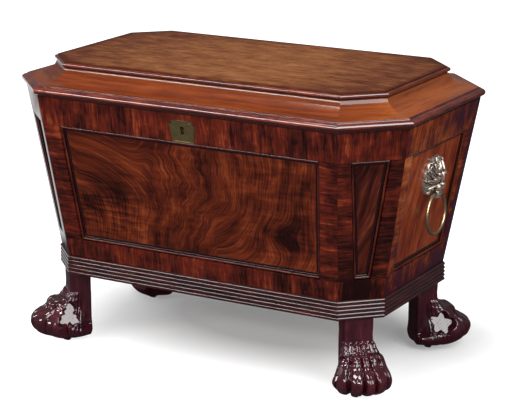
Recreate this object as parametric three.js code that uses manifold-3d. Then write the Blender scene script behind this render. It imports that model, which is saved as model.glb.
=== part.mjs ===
// A mahogany cellarette of about 1815: a tapering eight-sided wine box with a coved lid,
// a reeded base, carved paw feet on sunk castors, and a lion mask with a ring at each end.
// Millimetres, +Z up. The origin is on the floor under the middle, and the front faces -Y.
import * as THREE from "three";
import { mergeVertices } from "three/addons/utils/BufferGeometryUtils.js";
import { ParametricGeometry } from "three/addons/geometries/ParametricGeometry.js";
import Module from "manifold-3d";

const wasm = await Module();
wasm.setup();

// Outline over the rounded edge of the lid. Every other plan is this one drawn in by an inset.
const width = 760;
const depth = 464;
const cantInset = 90;

// Heights of the main stages, from the floor up
const legTop = 134;
const baseHeight = 33.6;
const bodyHeight = 292.7;
const lidGap = 0.5;
const bodyBottom = legTop + baseHeight;
const bodyTop = bodyBottom + bodyHeight;
const lidBottom = bodyTop + lidGap;

// Clearances: a glued mitre, a seat, a running fit, and how far a cutter runs past a face
const glueLine = 0.1;
const seat = 0.3;
const running = 0.3;
const overrun = 2;
const weld = 0.001;

// Sloping walls, each a crossbanded frame round a sunk panel with a planted bead
const bodyTopInset = 7;
const bodyBottomInset = 59;
const wallThickness = 20;
const panelSink = 6.5;
const rebate = 6;
const topRail = 49.3;
const wallKinds = {
  long: { lowStile: 32.5, highStile: 32.5, bottomRail: 33 },
  cant: { lowStile: 27, highStile: 23, bottomRail: 35.5 },
  end: { lowStile: 24, highStile: 28, bottomRail: 37.5 },
};
const sides = [
  ["right", "end"],
  ["rear_right", "cant"],
  ["rear", "long"],
  ["rear_left", "cant"],
  ["left", "end"],
  ["front_left", "cant"],
  ["front", "long"],
  ["front_right", "cant"],
];
const rightSide = 0;
const leftSide = 4;
const rearSide = 2;
const frontSide = 6;

// The bead: a quirk beside the frame, a half round, and a small cove down to the panel
const beadQuirk = 0.8;
const beadRadius = 2.6;
const beadAxisSink = 4.1;
const beadQuirkSink = 4.7;
const beadCove = 5;
const beadEdge = 0.3;

// The base: a wide frame with reeds on its edge, rebated for the floor board
const reedCount = 5;
const reedCrestInset = 56;
const reedProud = 3;
const floorThickness = 12;
const floorInset = 95;
const floorLedge = 17;

// Legs: a block over a splayed paw, with its own axes: +X outwards at the corner
const legEndInset = 102;
const legSideInset = 101;
const legBlock = { reach: 19.5, half: 25, round: 5, foot: 17 };
const soleHeight = 9;
const pawTop = 92;
const pawAxis = 14;
const tenon = { radius: 11, height: 20 };

// The paw's masses, as shares of its reach for level sizes and of its top for upright ones
const pawReach = 80;
const pawMassShares = [
  { at: [0.35, 0, 0.36], size: [0.575, 0.475, 0.36] },
  { at: [0.175, 0, 0.675], size: [0.3, 0.325, 0.37] },
];
const toeRootShare = 0.125;
const toeShares = [
  { turn: -60, knuckle: 0.4, tip: 0.52, narrow: 0.95 },
  { turn: -30, knuckle: 0.5, tip: 0.72, narrow: 1 },
  { turn: 0, knuckle: 0.53, tip: 0.76, narrow: 1 },
  { turn: 30, knuckle: 0.5, tip: 0.72, narrow: 1 },
  { turn: 60, knuckle: 0.4, tip: 0.52, narrow: 0.95 },
];
const knuckleShares = { height: 0.62, size: [0.2, 0.135, 0.2] };
const tipShares = { height: 0.36, size: [0.195, 0.15, 0.21] };
const pawRowShares = [0, 0.06, 0.17, 0.3, 0.43, 0.54, 0.64, 0.74, 0.84, 1];

// Sunk castors under the paws
const castorOut = 16;
const castorTrail = 9;
const castorWheel = { radius: 12, width: 9, round: 1.5, flats: 20 };
const castorAxle = 2.5;
const castorCheek = 2.4;
const castorCheekHalf = 5;
const castorPlate = { radius: 12, thickness: 2.5 };
const castorBridge = 2;
const castorPintle = { radius: 4, height: 28 };
const castorClear = 1;
const axleHeight = castorWheel.radius * Math.cos(Math.PI / castorWheel.flats);
const plateTop = axleHeight + castorWheel.radius + castorClear + castorBridge + castorPlate.thickness;
const pocketRadius = castorTrail + castorWheel.radius + 1.5 * castorClear;

// The lid, with heights above its own underside: a round-edged frame, a cove and a top
const friezeInset = 6.5;
const friezeHeight = 6;
const edgeRadius = 6;
const fillet = { inset: 9, rise: 3, end: 12, quirk: 1 };
const coveInset = 58.5;
const coveHeight = 44;
const slabEdge = 3.3;
const slabMargin = 2;
const fieldRise = 2;
const fieldThickness = 12.4;
const lidInnerInset = 80;
const lidFrameHeight = friezeHeight + 2 * edgeRadius + fillet.rise - fillet.quirk;
const slabTop = coveHeight + 2 * slabEdge;
const fieldTop = slabTop + fieldRise;

// Two stopped butt hinges let into the rear edges
const hingeEndInset = 190;
const hingePivotInset = 3;
const hinge = { width: 64, depth: 17, leaf: 1.5, knuckle: 3, pin: 1.3, button: 2.2, knuckles: 5 };

// The lock: an upright case let into the front, a sliding bolt, and staples on the lid
const lockCase = { half: 38, height: 36, thickness: 9, wall: 1, selvage: 3 };
const boltChamber = { half: 35, height: 12.3 };
const keyPocket = { half: 9, height: 19.5 };
const staple = { spacing: 24, thickness: 3, width: 5.4, drop: 12, hole: 2.8, rim: 1.7 };
const finger = { height: 3.2, width: 2.2, length: 8.8, rest: 0.8, post: 3 };
const bolt = { height: 3, width: 5, tail: 8 };
const linkPlate = { half: 30, depth: 14, thickness: 2 };
const escutcheon = { drop: 10.3, crown: 7.5, height: 38.6, narrow: 41, wide: 52, thickness: 1.4 };
const keyhole = { radius: 2.9, slot: 4.3, drop: 11.1, height: 12.5 };

// The end masks, in the wall's own axes: X along the wall, Y up it, Z out from it.
// The masses, the mane and the ring's hinge are shares of the mask's size.
const maskRiseShare = 0.625;
const maskSize = 75;
const maskStud = { radius: 3, length: 10 };
const ring = { radius: 35.5, wire: 3 };
const jawRoom = 0.5;
const maskMassShares = [
  { at: [0, 0.0375, 0.025], size: [0.4125, 0.4125, 0.1625], turn: 0 },
  { at: [0, 0.05, 0.1375], size: [0.275, 0.3, 0.175], turn: 0 },
  { at: [-0.1125, 0.1375, 0.25], size: [0.1125, 0.0625, 0.075], turn: -14 },
  { at: [0.1125, 0.1375, 0.25], size: [0.1125, 0.0625, 0.075], turn: 14 },
  { at: [0, -0.15, 0.2125], size: [0.15625, 0.1875, 0.16875], turn: 0 },
  { at: [0, -0.0375, 0.2875], size: [0.06875, 0.125, 0.08125], turn: 0 },
  { at: [0, -0.3625, 0.1875], size: [0.13125, 0.1125, 0.15], turn: 0 },
];
const ringHingeShares = [0, -0.3375, 0.2075];
const maneShares = { out: 0.3625, size: [0.1375, 0.09375, 0.1], lift: 0.0625, centre: 0.0125 };
const maneTurns = [-38, -8, 20, 45, 68, 90, 112, 135, 160, 188, 218];

// A zinc liner and the divisions for eight bottles
const liner = { thickness: 2.5, drop: 55.3 };
const division = { thickness: 8, height: 180, endInset: 230 };

const mahogany = { color: "#6b2c17", roughness: 0.3, metalness: 0 };
const darkMahogany = { color: "#3a1512", roughness: 0.28, metalness: 0 };
const brass = { color: "#a08a5c", roughness: 0.35, metalness: 1 };
const zinc = { color: "#85888a", roughness: 0.6, metalness: 1 };

// A closed geometry as a solid, with its shared corners joined and its faces turned outwards.
function solid(geometry) {
  const bare = geometry.clone();
  bare.deleteAttribute("normal");
  bare.deleteAttribute("uv");
  const joined = mergeVertices(bare, weld);
  const triangles = [];
  for (let i = 0; i < joined.index.count; i += 3) {
    const [a, b, c] = joined.index.array.slice(i, i + 3);
    if (a !== b && b !== c && c !== a) triangles.push(a, b, c);
  }
  const made = (list) => {
    const vertProperties = joined.attributes.position.array;
    const triVerts = Uint32Array.from(list);
    return new wasm.Manifold(new wasm.Mesh({ numProp: 3, vertProperties, triVerts }));
  };
  const first = made(triangles);
  return first.volume() < 0 ? made(triangles.reverse()) : first;
}

// A solid as a named mesh of one material.
function piece(name, shape, finish) {
  const { vertProperties, triVerts } = shape.getMesh();
  const geometry = new THREE.BufferGeometry();
  geometry.setAttribute("position", new THREE.BufferAttribute(Float32Array.from(vertProperties), 3));
  geometry.setIndex(new THREE.BufferAttribute(Uint32Array.from(triVerts), 1));
  geometry.computeVertexNormals();
  const mesh = new THREE.Mesh(geometry, new THREE.MeshStandardMaterial(finish));
  mesh.name = name;
  return mesh;
}

const joinAll = (shapes) => shapes.reduce((whole, shape) => whole.add(shape));

// An outline of [x, y] points raised from one height to another.
function slab(outline, low, high) {
  const shape = new THREE.Shape(outline.map(([x, y]) => new THREE.Vector2(x, y)));
  const options = { depth: high - low, bevelEnabled: false };
  return new THREE.ExtrudeGeometry(shape, options).translate(0, 0, low);
}

// A block between two opposite corners.
function block([x0, y0, z0], [x1, y1, z1]) {
  const box = new THREE.BoxGeometry(x1 - x0, y1 - y0, z1 - z0);
  return solid(box.translate((x0 + x1) / 2, (y0 + y1) / 2, (z0 + z1) / 2));
}

// An upright cylinder, or one that lies along X or Y.
function rod(radius, low, high, [x, y, z] = [0, 0, 0], along = "z", flats = 18) {
  const made = new THREE.CylinderGeometry(radius, radius, high - low, flats);
  made.translate(0, (low + high) / 2, 0);
  if (along === "z") made.rotateX(Math.PI / 2);
  if (along === "x") made.rotateZ(-Math.PI / 2);
  return solid(made.translate(x, y, z));
}

// A ball stretched to three half sizes and turned about its Z axis.
function stretched({ at, size, turn = 0 }, columns, rows) {
  const ball = new THREE.SphereGeometry(1, columns, rows).rotateX(Math.PI / 2).scale(...size);
  return solid(ball.rotateZ(THREE.MathUtils.degToRad(turn)).translate(...at));
}

// A convex outline, given anticlockwise, with every side moved inwards by the same distance.
function drawnIn(outline, distance) {
  const count = outline.length;
  return outline.map(([x, y], i) => {
    const [fromX, fromY] = outline[(i + count - 1) % count];
    const [toX, toY] = outline[(i + 1) % count];
    const before = new THREE.Vector2(fromY - y, x - fromX).normalize();
    const after = new THREE.Vector2(y - toY, toX - x).normalize();
    const share = distance / (1 + before.dot(after));
    return [x + (before.x + after.x) * share, y + (before.y + after.y) * share];
  });
}

// A moulding: a closed profile of [inset, height] points carried round an outline and mitred.
function mitredRing(outline, profile) {
  const rings = profile.map(([inset]) => drawnIn(outline, inset));
  const at = (around, along, target) => {
    const row = Math.round(along * profile.length) % profile.length;
    const [x, y] = rings[row][Math.round(around * outline.length) % outline.length];
    target.set(x, y, profile[row][1]);
  };
  return new ParametricGeometry(at, outline.length, profile.length);
}

// Points on an arc about a centre, with half sizes and angles in degrees.
function arc([x, y], [halfX, halfY], from, to, steps) {
  return Array.from({ length: steps + 1 }, (_, i) => {
    const angle = THREE.MathUtils.degToRad(from + ((to - from) * i) / steps);
    return [x + halfX * Math.cos(angle), y + halfY * Math.sin(angle)];
  });
}

// The outermost plan: a rectangle with its corners cut, anticlockwise from the front right
const halfWidth = width / 2;
const halfDepth = depth / 2;
const outline = [
  [halfWidth, cantInset - halfDepth],
  [halfWidth, halfDepth - cantInset],
  [halfWidth - cantInset, halfDepth],
  [cantInset - halfWidth, halfDepth],
  [-halfWidth, halfDepth - cantInset],
  [-halfWidth, cantInset - halfDepth],
  [cantInset - halfWidth, -halfDepth],
  [halfWidth - cantInset, -halfDepth],
];

// The walls lean out as they rise, so their inset falls with height.
const wallLean = (bodyBottomInset - bodyTopInset) / bodyHeight;
const slope = Math.hypot(1, wallLean);
const wallSpan = wallThickness * slope;
const wallInset = (height) => bodyBottomInset - (height - bodyBottom) * wallLean;

// The two ends of a wall's outer face at some height and depth.
function wallEnds(side, height, inwards = 0) {
  const plan = drawnIn(outline, wallInset(height) + inwards);
  return [side, side + 1].map((i) => new THREE.Vector3(...plan[i % plan.length], height));
}

// A wall's own axes: X along it, Y up its slope, Z out of it, from the middle of its foot.
function wallAxes(side) {
  const [start, end] = wallEnds(side, bodyBottom);
  const [topStart, topEnd] = wallEnds(side, bodyTop);
  const foot = start.clone().add(end).multiplyScalar(0.5);
  const head = topStart.clone().add(topEnd).multiplyScalar(0.5);
  const along = end.clone().sub(start).normalize();
  const up = head.sub(foot).normalize();
  const out = new THREE.Vector3().crossVectors(along, up);
  return new THREE.Matrix4().makeBasis(along, up, out).setPosition(foot);
}

const upWall = (height) => (height - bodyBottom) * slope;

// One wall's board between its two mitres: a box whose corners are moved to the plan.
function wallBoard(side) {
  const box = new THREE.BoxGeometry(1, 1, 1);
  const place = box.attributes.position;
  for (let i = 0; i < place.count; i++) {
    const height = place.getZ(i) > 0 ? bodyTop : bodyBottom;
    const ends = wallEnds(side, height, place.getY(i) > 0 ? 0 : wallSpan);
    const [here, there] = place.getX(i) > 0 ? ends : ends.reverse();
    const back = there.sub(here).setLength(glueLine / 2);
    place.setXYZ(i, here.x + back.x, here.y + back.y, height);
  }
  return solid(box);
}

// The opening in a wall's frame, in the wall's own axes.
function wallOpening(side) {
  const { lowStile, highStile, bottomRail } = wallKinds[sides[side][1]];
  const low = bodyBottom + bottomRail;
  const high = bodyTop - topRail;
  const half = (height, stile) => {
    const [start, end] = wallEnds(side, height);
    return start.distanceTo(end) / 2 - stile;
  };
  return [
    [-half(low, lowStile), upWall(low)],
    [half(low, lowStile), upWall(low)],
    [half(high, highStile), upWall(high)],
    [-half(high, highStile), upWall(high)],
  ];
}

const beadProfile = [
  [glueLine, -panelSink],
  [glueLine, -beadQuirkSink],
  [beadQuirk, -beadQuirkSink],
  ...arc([beadQuirk + beadRadius, -beadAxisSink], [beadRadius, beadRadius], 180, 0, 6),
  ...arc(
    [beadQuirk + 2 * beadRadius + beadCove, -beadQuirkSink],
    [beadCove, panelSink - beadEdge - beadQuirkSink],
    180,
    270,
    3,
  ),
  [beadQuirk + 2 * beadRadius + beadCove, -panelSink],
];

const cellarette = new THREE.Group();
const cutters = { frames: {}, panels: {} };

// The lock's place: its back is flush with the inner face of the front wall at the top
const lockBack = wallInset(bodyTop) + wallSpan - halfDepth;
const lockFront = lockBack - lockCase.thickness;
const lockBottom = bodyTop - lockCase.height;
const chamberMiddle = (lockBack + lockFront) / 2;
const chamberHalf = lockCase.thickness / 2 - lockCase.wall;

// The keyhole runs straight back through the plate, the frame and the front of the lock.
const plateTopEdge = bodyTop - escutcheon.drop;
const keyholeTop = plateTopEdge - keyhole.drop;
const keyholeBottom = keyholeTop - keyhole.height;
function keyholeCut() {
  const middle = keyholeTop - keyhole.radius;
  const half = keyhole.slot / 2;
  const turn = THREE.MathUtils.radToDeg(Math.asin(half / keyhole.radius));
  const shape = [
    [-half, keyholeBottom],
    [half, keyholeBottom],
    ...arc([0, middle], [keyhole.radius, keyhole.radius], turn - 90, 270 - turn, 12),
  ];
  const wide = wallInset(keyholeBottom) - halfDepth;
  const cut = slab(shape, 0, chamberMiddle - wide + overrun + escutcheon.thickness * slope);
  return solid(cut.rotateX(Math.PI / 2).translate(0, chamberMiddle, 0));
}

// The space for the lock in the front wall, open at the top and on the inside
cutters.frames[frontSide] = [
  block(
    [-lockCase.half - seat, lockFront - seat, lockBottom - seat],
    [lockCase.half + seat, lockBack + wallThickness, bodyTop + overrun],
  ),
  keyholeCut(),
];

// The hinges' seats in the top of the rear wall
const hingeAcross = halfWidth - hingeEndInset;
const pivotY = halfDepth - hingePivotInset;
const pivotZ = bodyTop + lidGap / 2;
const leafEdge = pivotY - hinge.knuckle - running;
const leafStart = leafEdge - hinge.depth;
const hingeSeat = (x, low, high) =>
  block(
    [x - hinge.width / 2 - seat, leafStart - seat, low],
    [x + hinge.width / 2 + seat, pivotY + hinge.knuckle, high],
  );
cutters.frames[rearSide] = [-hingeAcross, hingeAcross].map((x) =>
  hingeSeat(x, bodyTop - hinge.leaf - seat, bodyTop + overrun),
);

// The blind holes for the masks' studs
const maskUp = upWall(bodyBottom + bodyHeight * maskRiseShare);
const panelFace = -panelSink - glueLine;
for (const side of [rightSide, leftSide]) {
  const hole = new THREE.CylinderGeometry(
    maskStud.radius + running,
    maskStud.radius + running,
    maskStud.length + seat + overrun,
    12,
  );
  hole.rotateX(Math.PI / 2).translate(0, maskUp, panelFace + (overrun - maskStud.length - seat) / 2);
  cutters.panels[side] = [solid(hole.applyMatrix4(wallAxes(side)))];
}

// Eight walls
sides.forEach(([name], side) => {
  const axes = wallAxes(side);
  const opening = wallOpening(side);
  const placed = (shape) => solid(shape.applyMatrix4(axes));
  let frame = wallBoard(side)
    .subtract(placed(slab(opening, -wallThickness, overrun)))
    .subtract(placed(slab(drawnIn(opening, -rebate), -wallThickness - overrun, -panelSink)));
  for (const cut of cutters.frames[side] ?? []) frame = frame.subtract(cut);
  let panel = placed(slab(drawnIn(opening, glueLine - rebate), -wallThickness, panelFace));
  for (const cut of cutters.panels[side] ?? []) panel = panel.subtract(cut);
  cellarette.add(piece(`${name}_wall_frame`, frame, mahogany));
  cellarette.add(piece(`${name}_panel`, panel, mahogany));
  cellarette.add(piece(`${name}_bead`, placed(mitredRing(opening, beadProfile)), darkMahogany));
});

// The base frame: reeds from the bottom edge to the top, then the ledge for the floor board
const reedHalf = baseHeight / reedCount / 2;
const reedValley = reedCrestInset + reedProud;
const reeds = Array.from({ length: reedCount }, (_, i) => {
  const middle = legTop + (2 * i + 1) * reedHalf;
  return arc([reedValley, middle], [reedProud, reedHalf], 270, 90, 5).slice(i ? 1 : 0);
});
const ledge = bodyBottom - floorThickness;
const baseProfile = [
  ...reeds.flat(),
  [floorInset, bodyBottom],
  [floorInset, ledge],
  [floorInset + floorLedge, ledge],
  [floorInset + floorLedge, legTop],
];
const corners = [
  ["front_right", 1, -1],
  ["rear_right", 1, 1],
  ["rear_left", -1, 1],
  ["front_left", -1, -1],
];
const legAlong = halfWidth - legEndInset;
const legAcross = halfDepth - legSideInset;
let baseFrame = solid(mitredRing(outline, baseProfile));
for (const [, x, y] of corners) {
  const at = [x * legAlong, y * legAcross, 0];
  const bore = rod(tenon.radius + seat, legTop - overrun, legTop + tenon.height + seat, at);
  baseFrame = baseFrame.subtract(bore);
}
cellarette.add(piece("base_frame", baseFrame, darkMahogany));
const floorBoard = slab(drawnIn(outline, floorInset + glueLine), ledge, bodyBottom);
cellarette.add(piece("floor_board", solid(floorBoard), mahogany));

// How far a level ray from the paw's axis runs before it leaves a stretched ball.
function reachOf({ at, size, turn = 0 }, angle, height) {
  const rest = 1 - ((height - at[2]) / size[2]) ** 2;
  const half = new THREE.Vector2(size[0], size[1]);
  const scaled = (v) => v.rotateAround(new THREE.Vector2(), -turn).divide(half);
  const start = scaled(new THREE.Vector2(pawAxis - at[0], -at[1]));
  const step = scaled(new THREE.Vector2(Math.cos(angle), Math.sin(angle)));
  const along = start.dot(step);
  const root = along ** 2 - step.lengthSq() * (start.lengthSq() - rest);
  return root > 0 ? (Math.sqrt(root) - along) / step.lengthSq() : 0;
}

const pawSizes = ([x, y, z]) => [x * pawReach, y * pawReach, z * pawTop];
const pawShapes = pawMassShares.map(({ at, size }) => ({ at: pawSizes(at), size: pawSizes(size) }));
for (const toe of toeShares) {
  const angle = THREE.MathUtils.degToRad(toe.turn);
  for (const [mass, out] of [[knuckleShares, toe.knuckle], [tipShares, toe.tip]]) {
    const at = pawSizes([toeRootShare + out * Math.cos(angle), out * Math.sin(angle), mass.height]);
    const [long, across, tall] = mass.size;
    pawShapes.push({ at, size: pawSizes([long, across * toe.narrow, tall]), turn: angle });
  }
}

// The paw: at each height its outline is the furthest of its masses in every direction.
function paw() {
  const last = pawRowShares.length + 1;
  const surface = (around, along, target) => {
    const row = Math.round(along * last);
    const share = pawRowShares[Math.min(Math.max(row - 1, 0), last - 2)];
    const height = soleHeight + share * (pawTop - soleHeight);
    const angle = around * 2 * Math.PI;
    const reaches = pawShapes.map((mass) => reachOf(mass, angle, height));
    const reach = row === 0 || row === last ? 0 : Math.max(...reaches);
    target.set(pawAxis + reach * Math.cos(angle), reach * Math.sin(angle), height);
  };
  return solid(new ParametricGeometry(surface, 32, last));
}

// A leg and its paw in one carving, hollowed for the castor
function leg() {
  const { reach, half, round, foot } = legBlock;
  const outlineOfBlock = [
    ...arc([reach - round, half - round], [round, round], 0, 90, 3),
    ...arc([round - reach, half - round], [round, round], 90, 180, 3),
    ...arc([round - reach, round - half], [round, round], 180, 270, 3),
    ...arc([reach - round, round - half], [round, round], 270, 360, 3),
  ];
  const pocket = rod(pocketRadius, 0, plateTop + running, [castorOut, 0, 0]);
  const bore = castorPintle.radius + running;
  const boreTop = plateTop + castorPintle.height + running;
  return solid(slab(outlineOfBlock, foot, legTop))
    .add(rod(tenon.radius, legTop - overrun, legTop + tenon.height))
    .add(paw())
    .subtract(pocket)
    .subtract(rod(bore, 0, boreTop, [castorOut, 0, 0]));
}

// A castor's horn: a plate on a pintle, with two cheeks and the axle between them
function castorHorn() {
  const inner = castorWheel.width / 2 + running;
  const outer = inner + castorCheek;
  const bridgeBottom = plateTop - castorPlate.thickness - castorBridge;
  const plateBottom = plateTop - castorPlate.thickness;
  const front = castorTrail + castorCheekHalf;
  const cheeks = [-outer, inner].map((y) =>
    block(
      [castorTrail - castorCheekHalf, y, axleHeight - castorCheekHalf],
      [front, y + castorCheek, plateBottom],
    ),
  );
  return joinAll([
    rod(castorPlate.radius, plateBottom, plateTop),
    block([-castorCheekHalf, -outer, bridgeBottom], [front, outer, plateBottom + castorBridge / 2]),
    rod(castorPintle.radius, plateBottom, plateTop + castorPintle.height),
    rod(castorAxle, -outer, outer, [castorTrail, 0, axleHeight], "y", 10),
    ...cheeks,
  ]);
}

// A castor's wheel: a turned brass tyre with eased edges, standing on one of its flats
function castorTyre() {
  const { radius, width: across, round, flats } = castorWheel;
  const bore = castorAxle + running;
  const profile = [
    [bore, -across / 2],
    [radius - round, -across / 2],
    [radius, round - across / 2],
    [radius, across / 2 - round],
    [radius - round, across / 2],
    [bore, across / 2],
    [bore, -across / 2],
  ];
  const points = profile.map(([x, y]) => new THREE.Vector2(x, y));
  return solid(new THREE.LatheGeometry(points, flats).rotateY(Math.PI / flats));
}

const legShape = leg();
const hornShape = castorHorn();
const tyreShape = castorTyre();
for (const [name, x, y] of corners) {
  const corner = new THREE.Group();
  corner.position.set(x * legAlong, y * legAcross, 0);
  corner.rotation.z = Math.atan2(y, x);
  const carving = piece(`${name}_leg`, legShape, darkMahogany);
  const castor = new THREE.Group();
  castor.position.x = castorOut;
  castor.rotation.z = -Math.PI / 2 - corner.rotation.z;
  const horn = piece(`${name}_castor_horn`, hornShape, brass);
  const tyre = piece(`${name}_castor_wheel`, tyreShape, brass);
  tyre.position.set(castorTrail, 0, axleHeight);
  castor.add(horn, tyre);
  corner.add(carving, castor);
  cellarette.add(corner);
}

// The lid, built on its own underside and lifted into place
const aboveLid = (points) => points.map(([inset, height]) => [inset, lidBottom + height]);
const edgeMiddle = friezeHeight + edgeRadius;
const edgeTop = friezeHeight + 2 * edgeRadius;
const lidFrameProfile = aboveLid([
  [friezeInset, 0],
  [friezeInset, friezeHeight],
  ...arc([edgeRadius, edgeMiddle], [edgeRadius, edgeRadius], 270, 90, 8),
  [fillet.inset, edgeTop],
  [fillet.inset, edgeTop + fillet.rise],
  [fillet.end, edgeTop + fillet.rise],
  [fillet.end, lidFrameHeight],
  [lidInnerInset, lidFrameHeight],
  [lidInnerInset, 0],
]);
const coveStart = fillet.end + glueLine;
const fieldInset = coveInset + slabMargin;
const coveProfile = aboveLid([
  [coveStart, lidFrameHeight],
  ...arc([coveStart, coveHeight], [coveInset - coveStart, coveHeight - lidFrameHeight], 276, 360, 8),
  ...arc([coveInset, coveHeight + slabEdge], [slabEdge, slabEdge], 270, 90, 6),
  [fieldInset, slabTop],
  [fieldInset, fieldTop - fieldThickness],
  [lidInnerInset, fieldTop - fieldThickness],
  [lidInnerInset, lidFrameHeight],
]);
const linkHalf = linkPlate.half + seat;
const linkSide = linkPlate.depth / 2 + seat;
const linkRecess = block(
  [-linkHalf, chamberMiddle - linkSide, lidBottom - overrun],
  [linkHalf, chamberMiddle + linkSide, lidBottom + linkPlate.thickness + seat],
);
let lidFrame = solid(mitredRing(outline, lidFrameProfile)).subtract(linkRecess);
for (const x of [-hingeAcross, hingeAcross]) {
  lidFrame = lidFrame.subtract(hingeSeat(x, lidBottom - overrun, lidBottom + hinge.leaf + seat));
}
const fieldPlan = drawnIn(outline, fieldInset + glueLine);
const field = slab(fieldPlan, lidBottom + fieldTop - fieldThickness, lidBottom + fieldTop);
cellarette.add(piece("lid_frame", lidFrame, mahogany));
cellarette.add(piece("lid_cove", solid(mitredRing(outline, coveProfile)), mahogany));
cellarette.add(piece("lid_top", solid(field), mahogany));

// One hinge leaf: a plate and its own knuckles on the pin's line, the odd or the even ones
function hingeLeaf(x, low, own) {
  const start = x - hinge.width / 2;
  const step = hinge.width / hinge.knuckles;
  let leaf = block([start, leafStart, low], [start + hinge.width, leafEdge, low + hinge.leaf]);
  for (let i = own; i < hinge.knuckles; i += 2) {
    const from = start + i * step + (i ? running / 2 : 0);
    const to = start + (i + 1) * step - (i < hinge.knuckles - 1 ? running / 2 : 0);
    leaf = leaf
      .add(block([from, leafEdge - hinge.knuckle, low], [to, pivotY, low + hinge.leaf]))
      .add(rod(hinge.knuckle, from, to, [0, pivotY, pivotZ], "x", 14));
  }
  const far = start + hinge.width + overrun;
  return leaf.subtract(rod(hinge.pin + running, start - overrun, far, [0, pivotY, pivotZ], "x", 10));
}

for (const [name, x] of [["left", -hingeAcross], ["right", hingeAcross]]) {
  const end = hinge.width / 2 + running;
  const cap = end + hinge.leaf;
  const pin = joinAll([
    rod(hinge.pin, x - cap, x + cap, [0, pivotY, pivotZ], "x", 10),
    rod(hinge.button, x - cap, x - end, [0, pivotY, pivotZ], "x", 10),
    rod(hinge.button, x + end, x + cap, [0, pivotY, pivotZ], "x", 10),
  ]);
  cellarette.add(piece(`${name}_hinge_body_leaf`, hingeLeaf(x, bodyTop - hinge.leaf, 0), brass));
  cellarette.add(piece(`${name}_hinge_lid_leaf`, hingeLeaf(x, lidBottom, 1), brass));
  cellarette.add(piece(`${name}_hinge_pin`, pin, brass));
}

// The lock case, hollow for the bolt and for the turn of a key
const chamberTop = bodyTop - lockCase.selvage;
const chamberBottom = chamberTop - boltChamber.height;
const chamberFront = chamberMiddle - chamberHalf;
const chamberBack = chamberMiddle + chamberHalf;
const staples = [-staple.spacing / 2, staple.spacing / 2];
const hollow = (low, high, bottom, top) => block([low, chamberFront, bottom], [high, chamberBack, top]);
let caseShape = block([-lockCase.half, lockFront, lockBottom], [lockCase.half, lockBack, bodyTop])
  .subtract(hollow(-boltChamber.half, boltChamber.half, chamberBottom, chamberTop))
  .subtract(hollow(-keyPocket.half, keyPocket.half, chamberBottom - keyPocket.height, chamberTop))
  .subtract(keyholeCut());
for (const x of staples) {
  const half = staple.thickness / 2 + 2 * running;
  caseShape = caseShape.subtract(hollow(x - half, x + half, chamberBottom, bodyTop + overrun));
}
cellarette.add(piece("lock_case", caseShape, brass));

// The bolt: a bar with two fingers that slide through the lid's staples
const barBottom = chamberBottom + running;
const fingerTop = lidBottom - staple.rim - (staple.drop - 2 * staple.rim - finger.height) / 2;
const fingerBottom = fingerTop - finger.height;
const [firstStaple, lastStaple] = staples;
const fingerTip = (x) => x - staple.thickness / 2 - finger.rest;
const postStart = fingerTip(firstStaple) - finger.length - finger.post;
const boltParts = staples.flatMap((x) => {
  const tip = fingerTip(x);
  const post = tip - finger.length;
  const front = chamberMiddle - finger.width / 2;
  const back = chamberMiddle + finger.width / 2;
  return [
    block([post - finger.post, front, fingerBottom], [tip, back, fingerTop]),
    block([post - finger.post, front, barBottom], [post, back, fingerTop]),
  ];
});
const bar = block(
  [postStart, chamberMiddle - bolt.width / 2, barBottom],
  [lastStaple + bolt.tail, chamberMiddle + bolt.width / 2, barBottom + bolt.height],
);
cellarette.add(piece("lock_bolt", joinAll([bar, ...boltParts]), brass));

// The link plate under the lid, with its two staples
let link = block(
  [-linkPlate.half, chamberMiddle - linkPlate.depth / 2, lidBottom],
  [linkPlate.half, chamberMiddle + linkPlate.depth / 2, lidBottom + linkPlate.thickness],
);
for (const x of staples) {
  const half = staple.thickness / 2;
  const low = lidBottom - staple.drop;
  const tall = staple.drop - 2 * staple.rim;
  const loop = block(
    [x - half, chamberMiddle - staple.width / 2, low],
    [x + half, chamberMiddle + staple.width / 2, lidBottom + linkPlate.thickness / 2],
  );
  const eye = block(
    [x - half - overrun, chamberMiddle - staple.hole / 2, low + staple.rim],
    [x + half + overrun, chamberMiddle + staple.hole / 2, low + staple.rim + tall],
  );
  link = link.add(loop.subtract(eye));
}
cellarette.add(piece("link_plate", link, brass));

// The escutcheon: a plate with stepped shoulders, narrower towards its foot
const platePoints = [
  [escutcheon.narrow / 2, plateTopEdge - escutcheon.height],
  [escutcheon.wide / 2, plateTopEdge - escutcheon.crown],
  [escutcheon.narrow / 2, plateTopEdge - escutcheon.crown],
  [escutcheon.narrow / 2, plateTopEdge],
].map(([x, height]) => [x, upWall(height)]);
const mirrored = platePoints.map(([x, y]) => [-x, y]).reverse();
const plate = slab([...platePoints, ...mirrored], glueLine, glueLine + escutcheon.thickness);
const plateShape = solid(plate.applyMatrix4(wallAxes(frontSide))).subtract(keyholeCut());
cellarette.add(piece("escutcheon", plateShape, brass));

const maskSizes = (shares) => shares.map((share) => share * maskSize);

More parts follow.
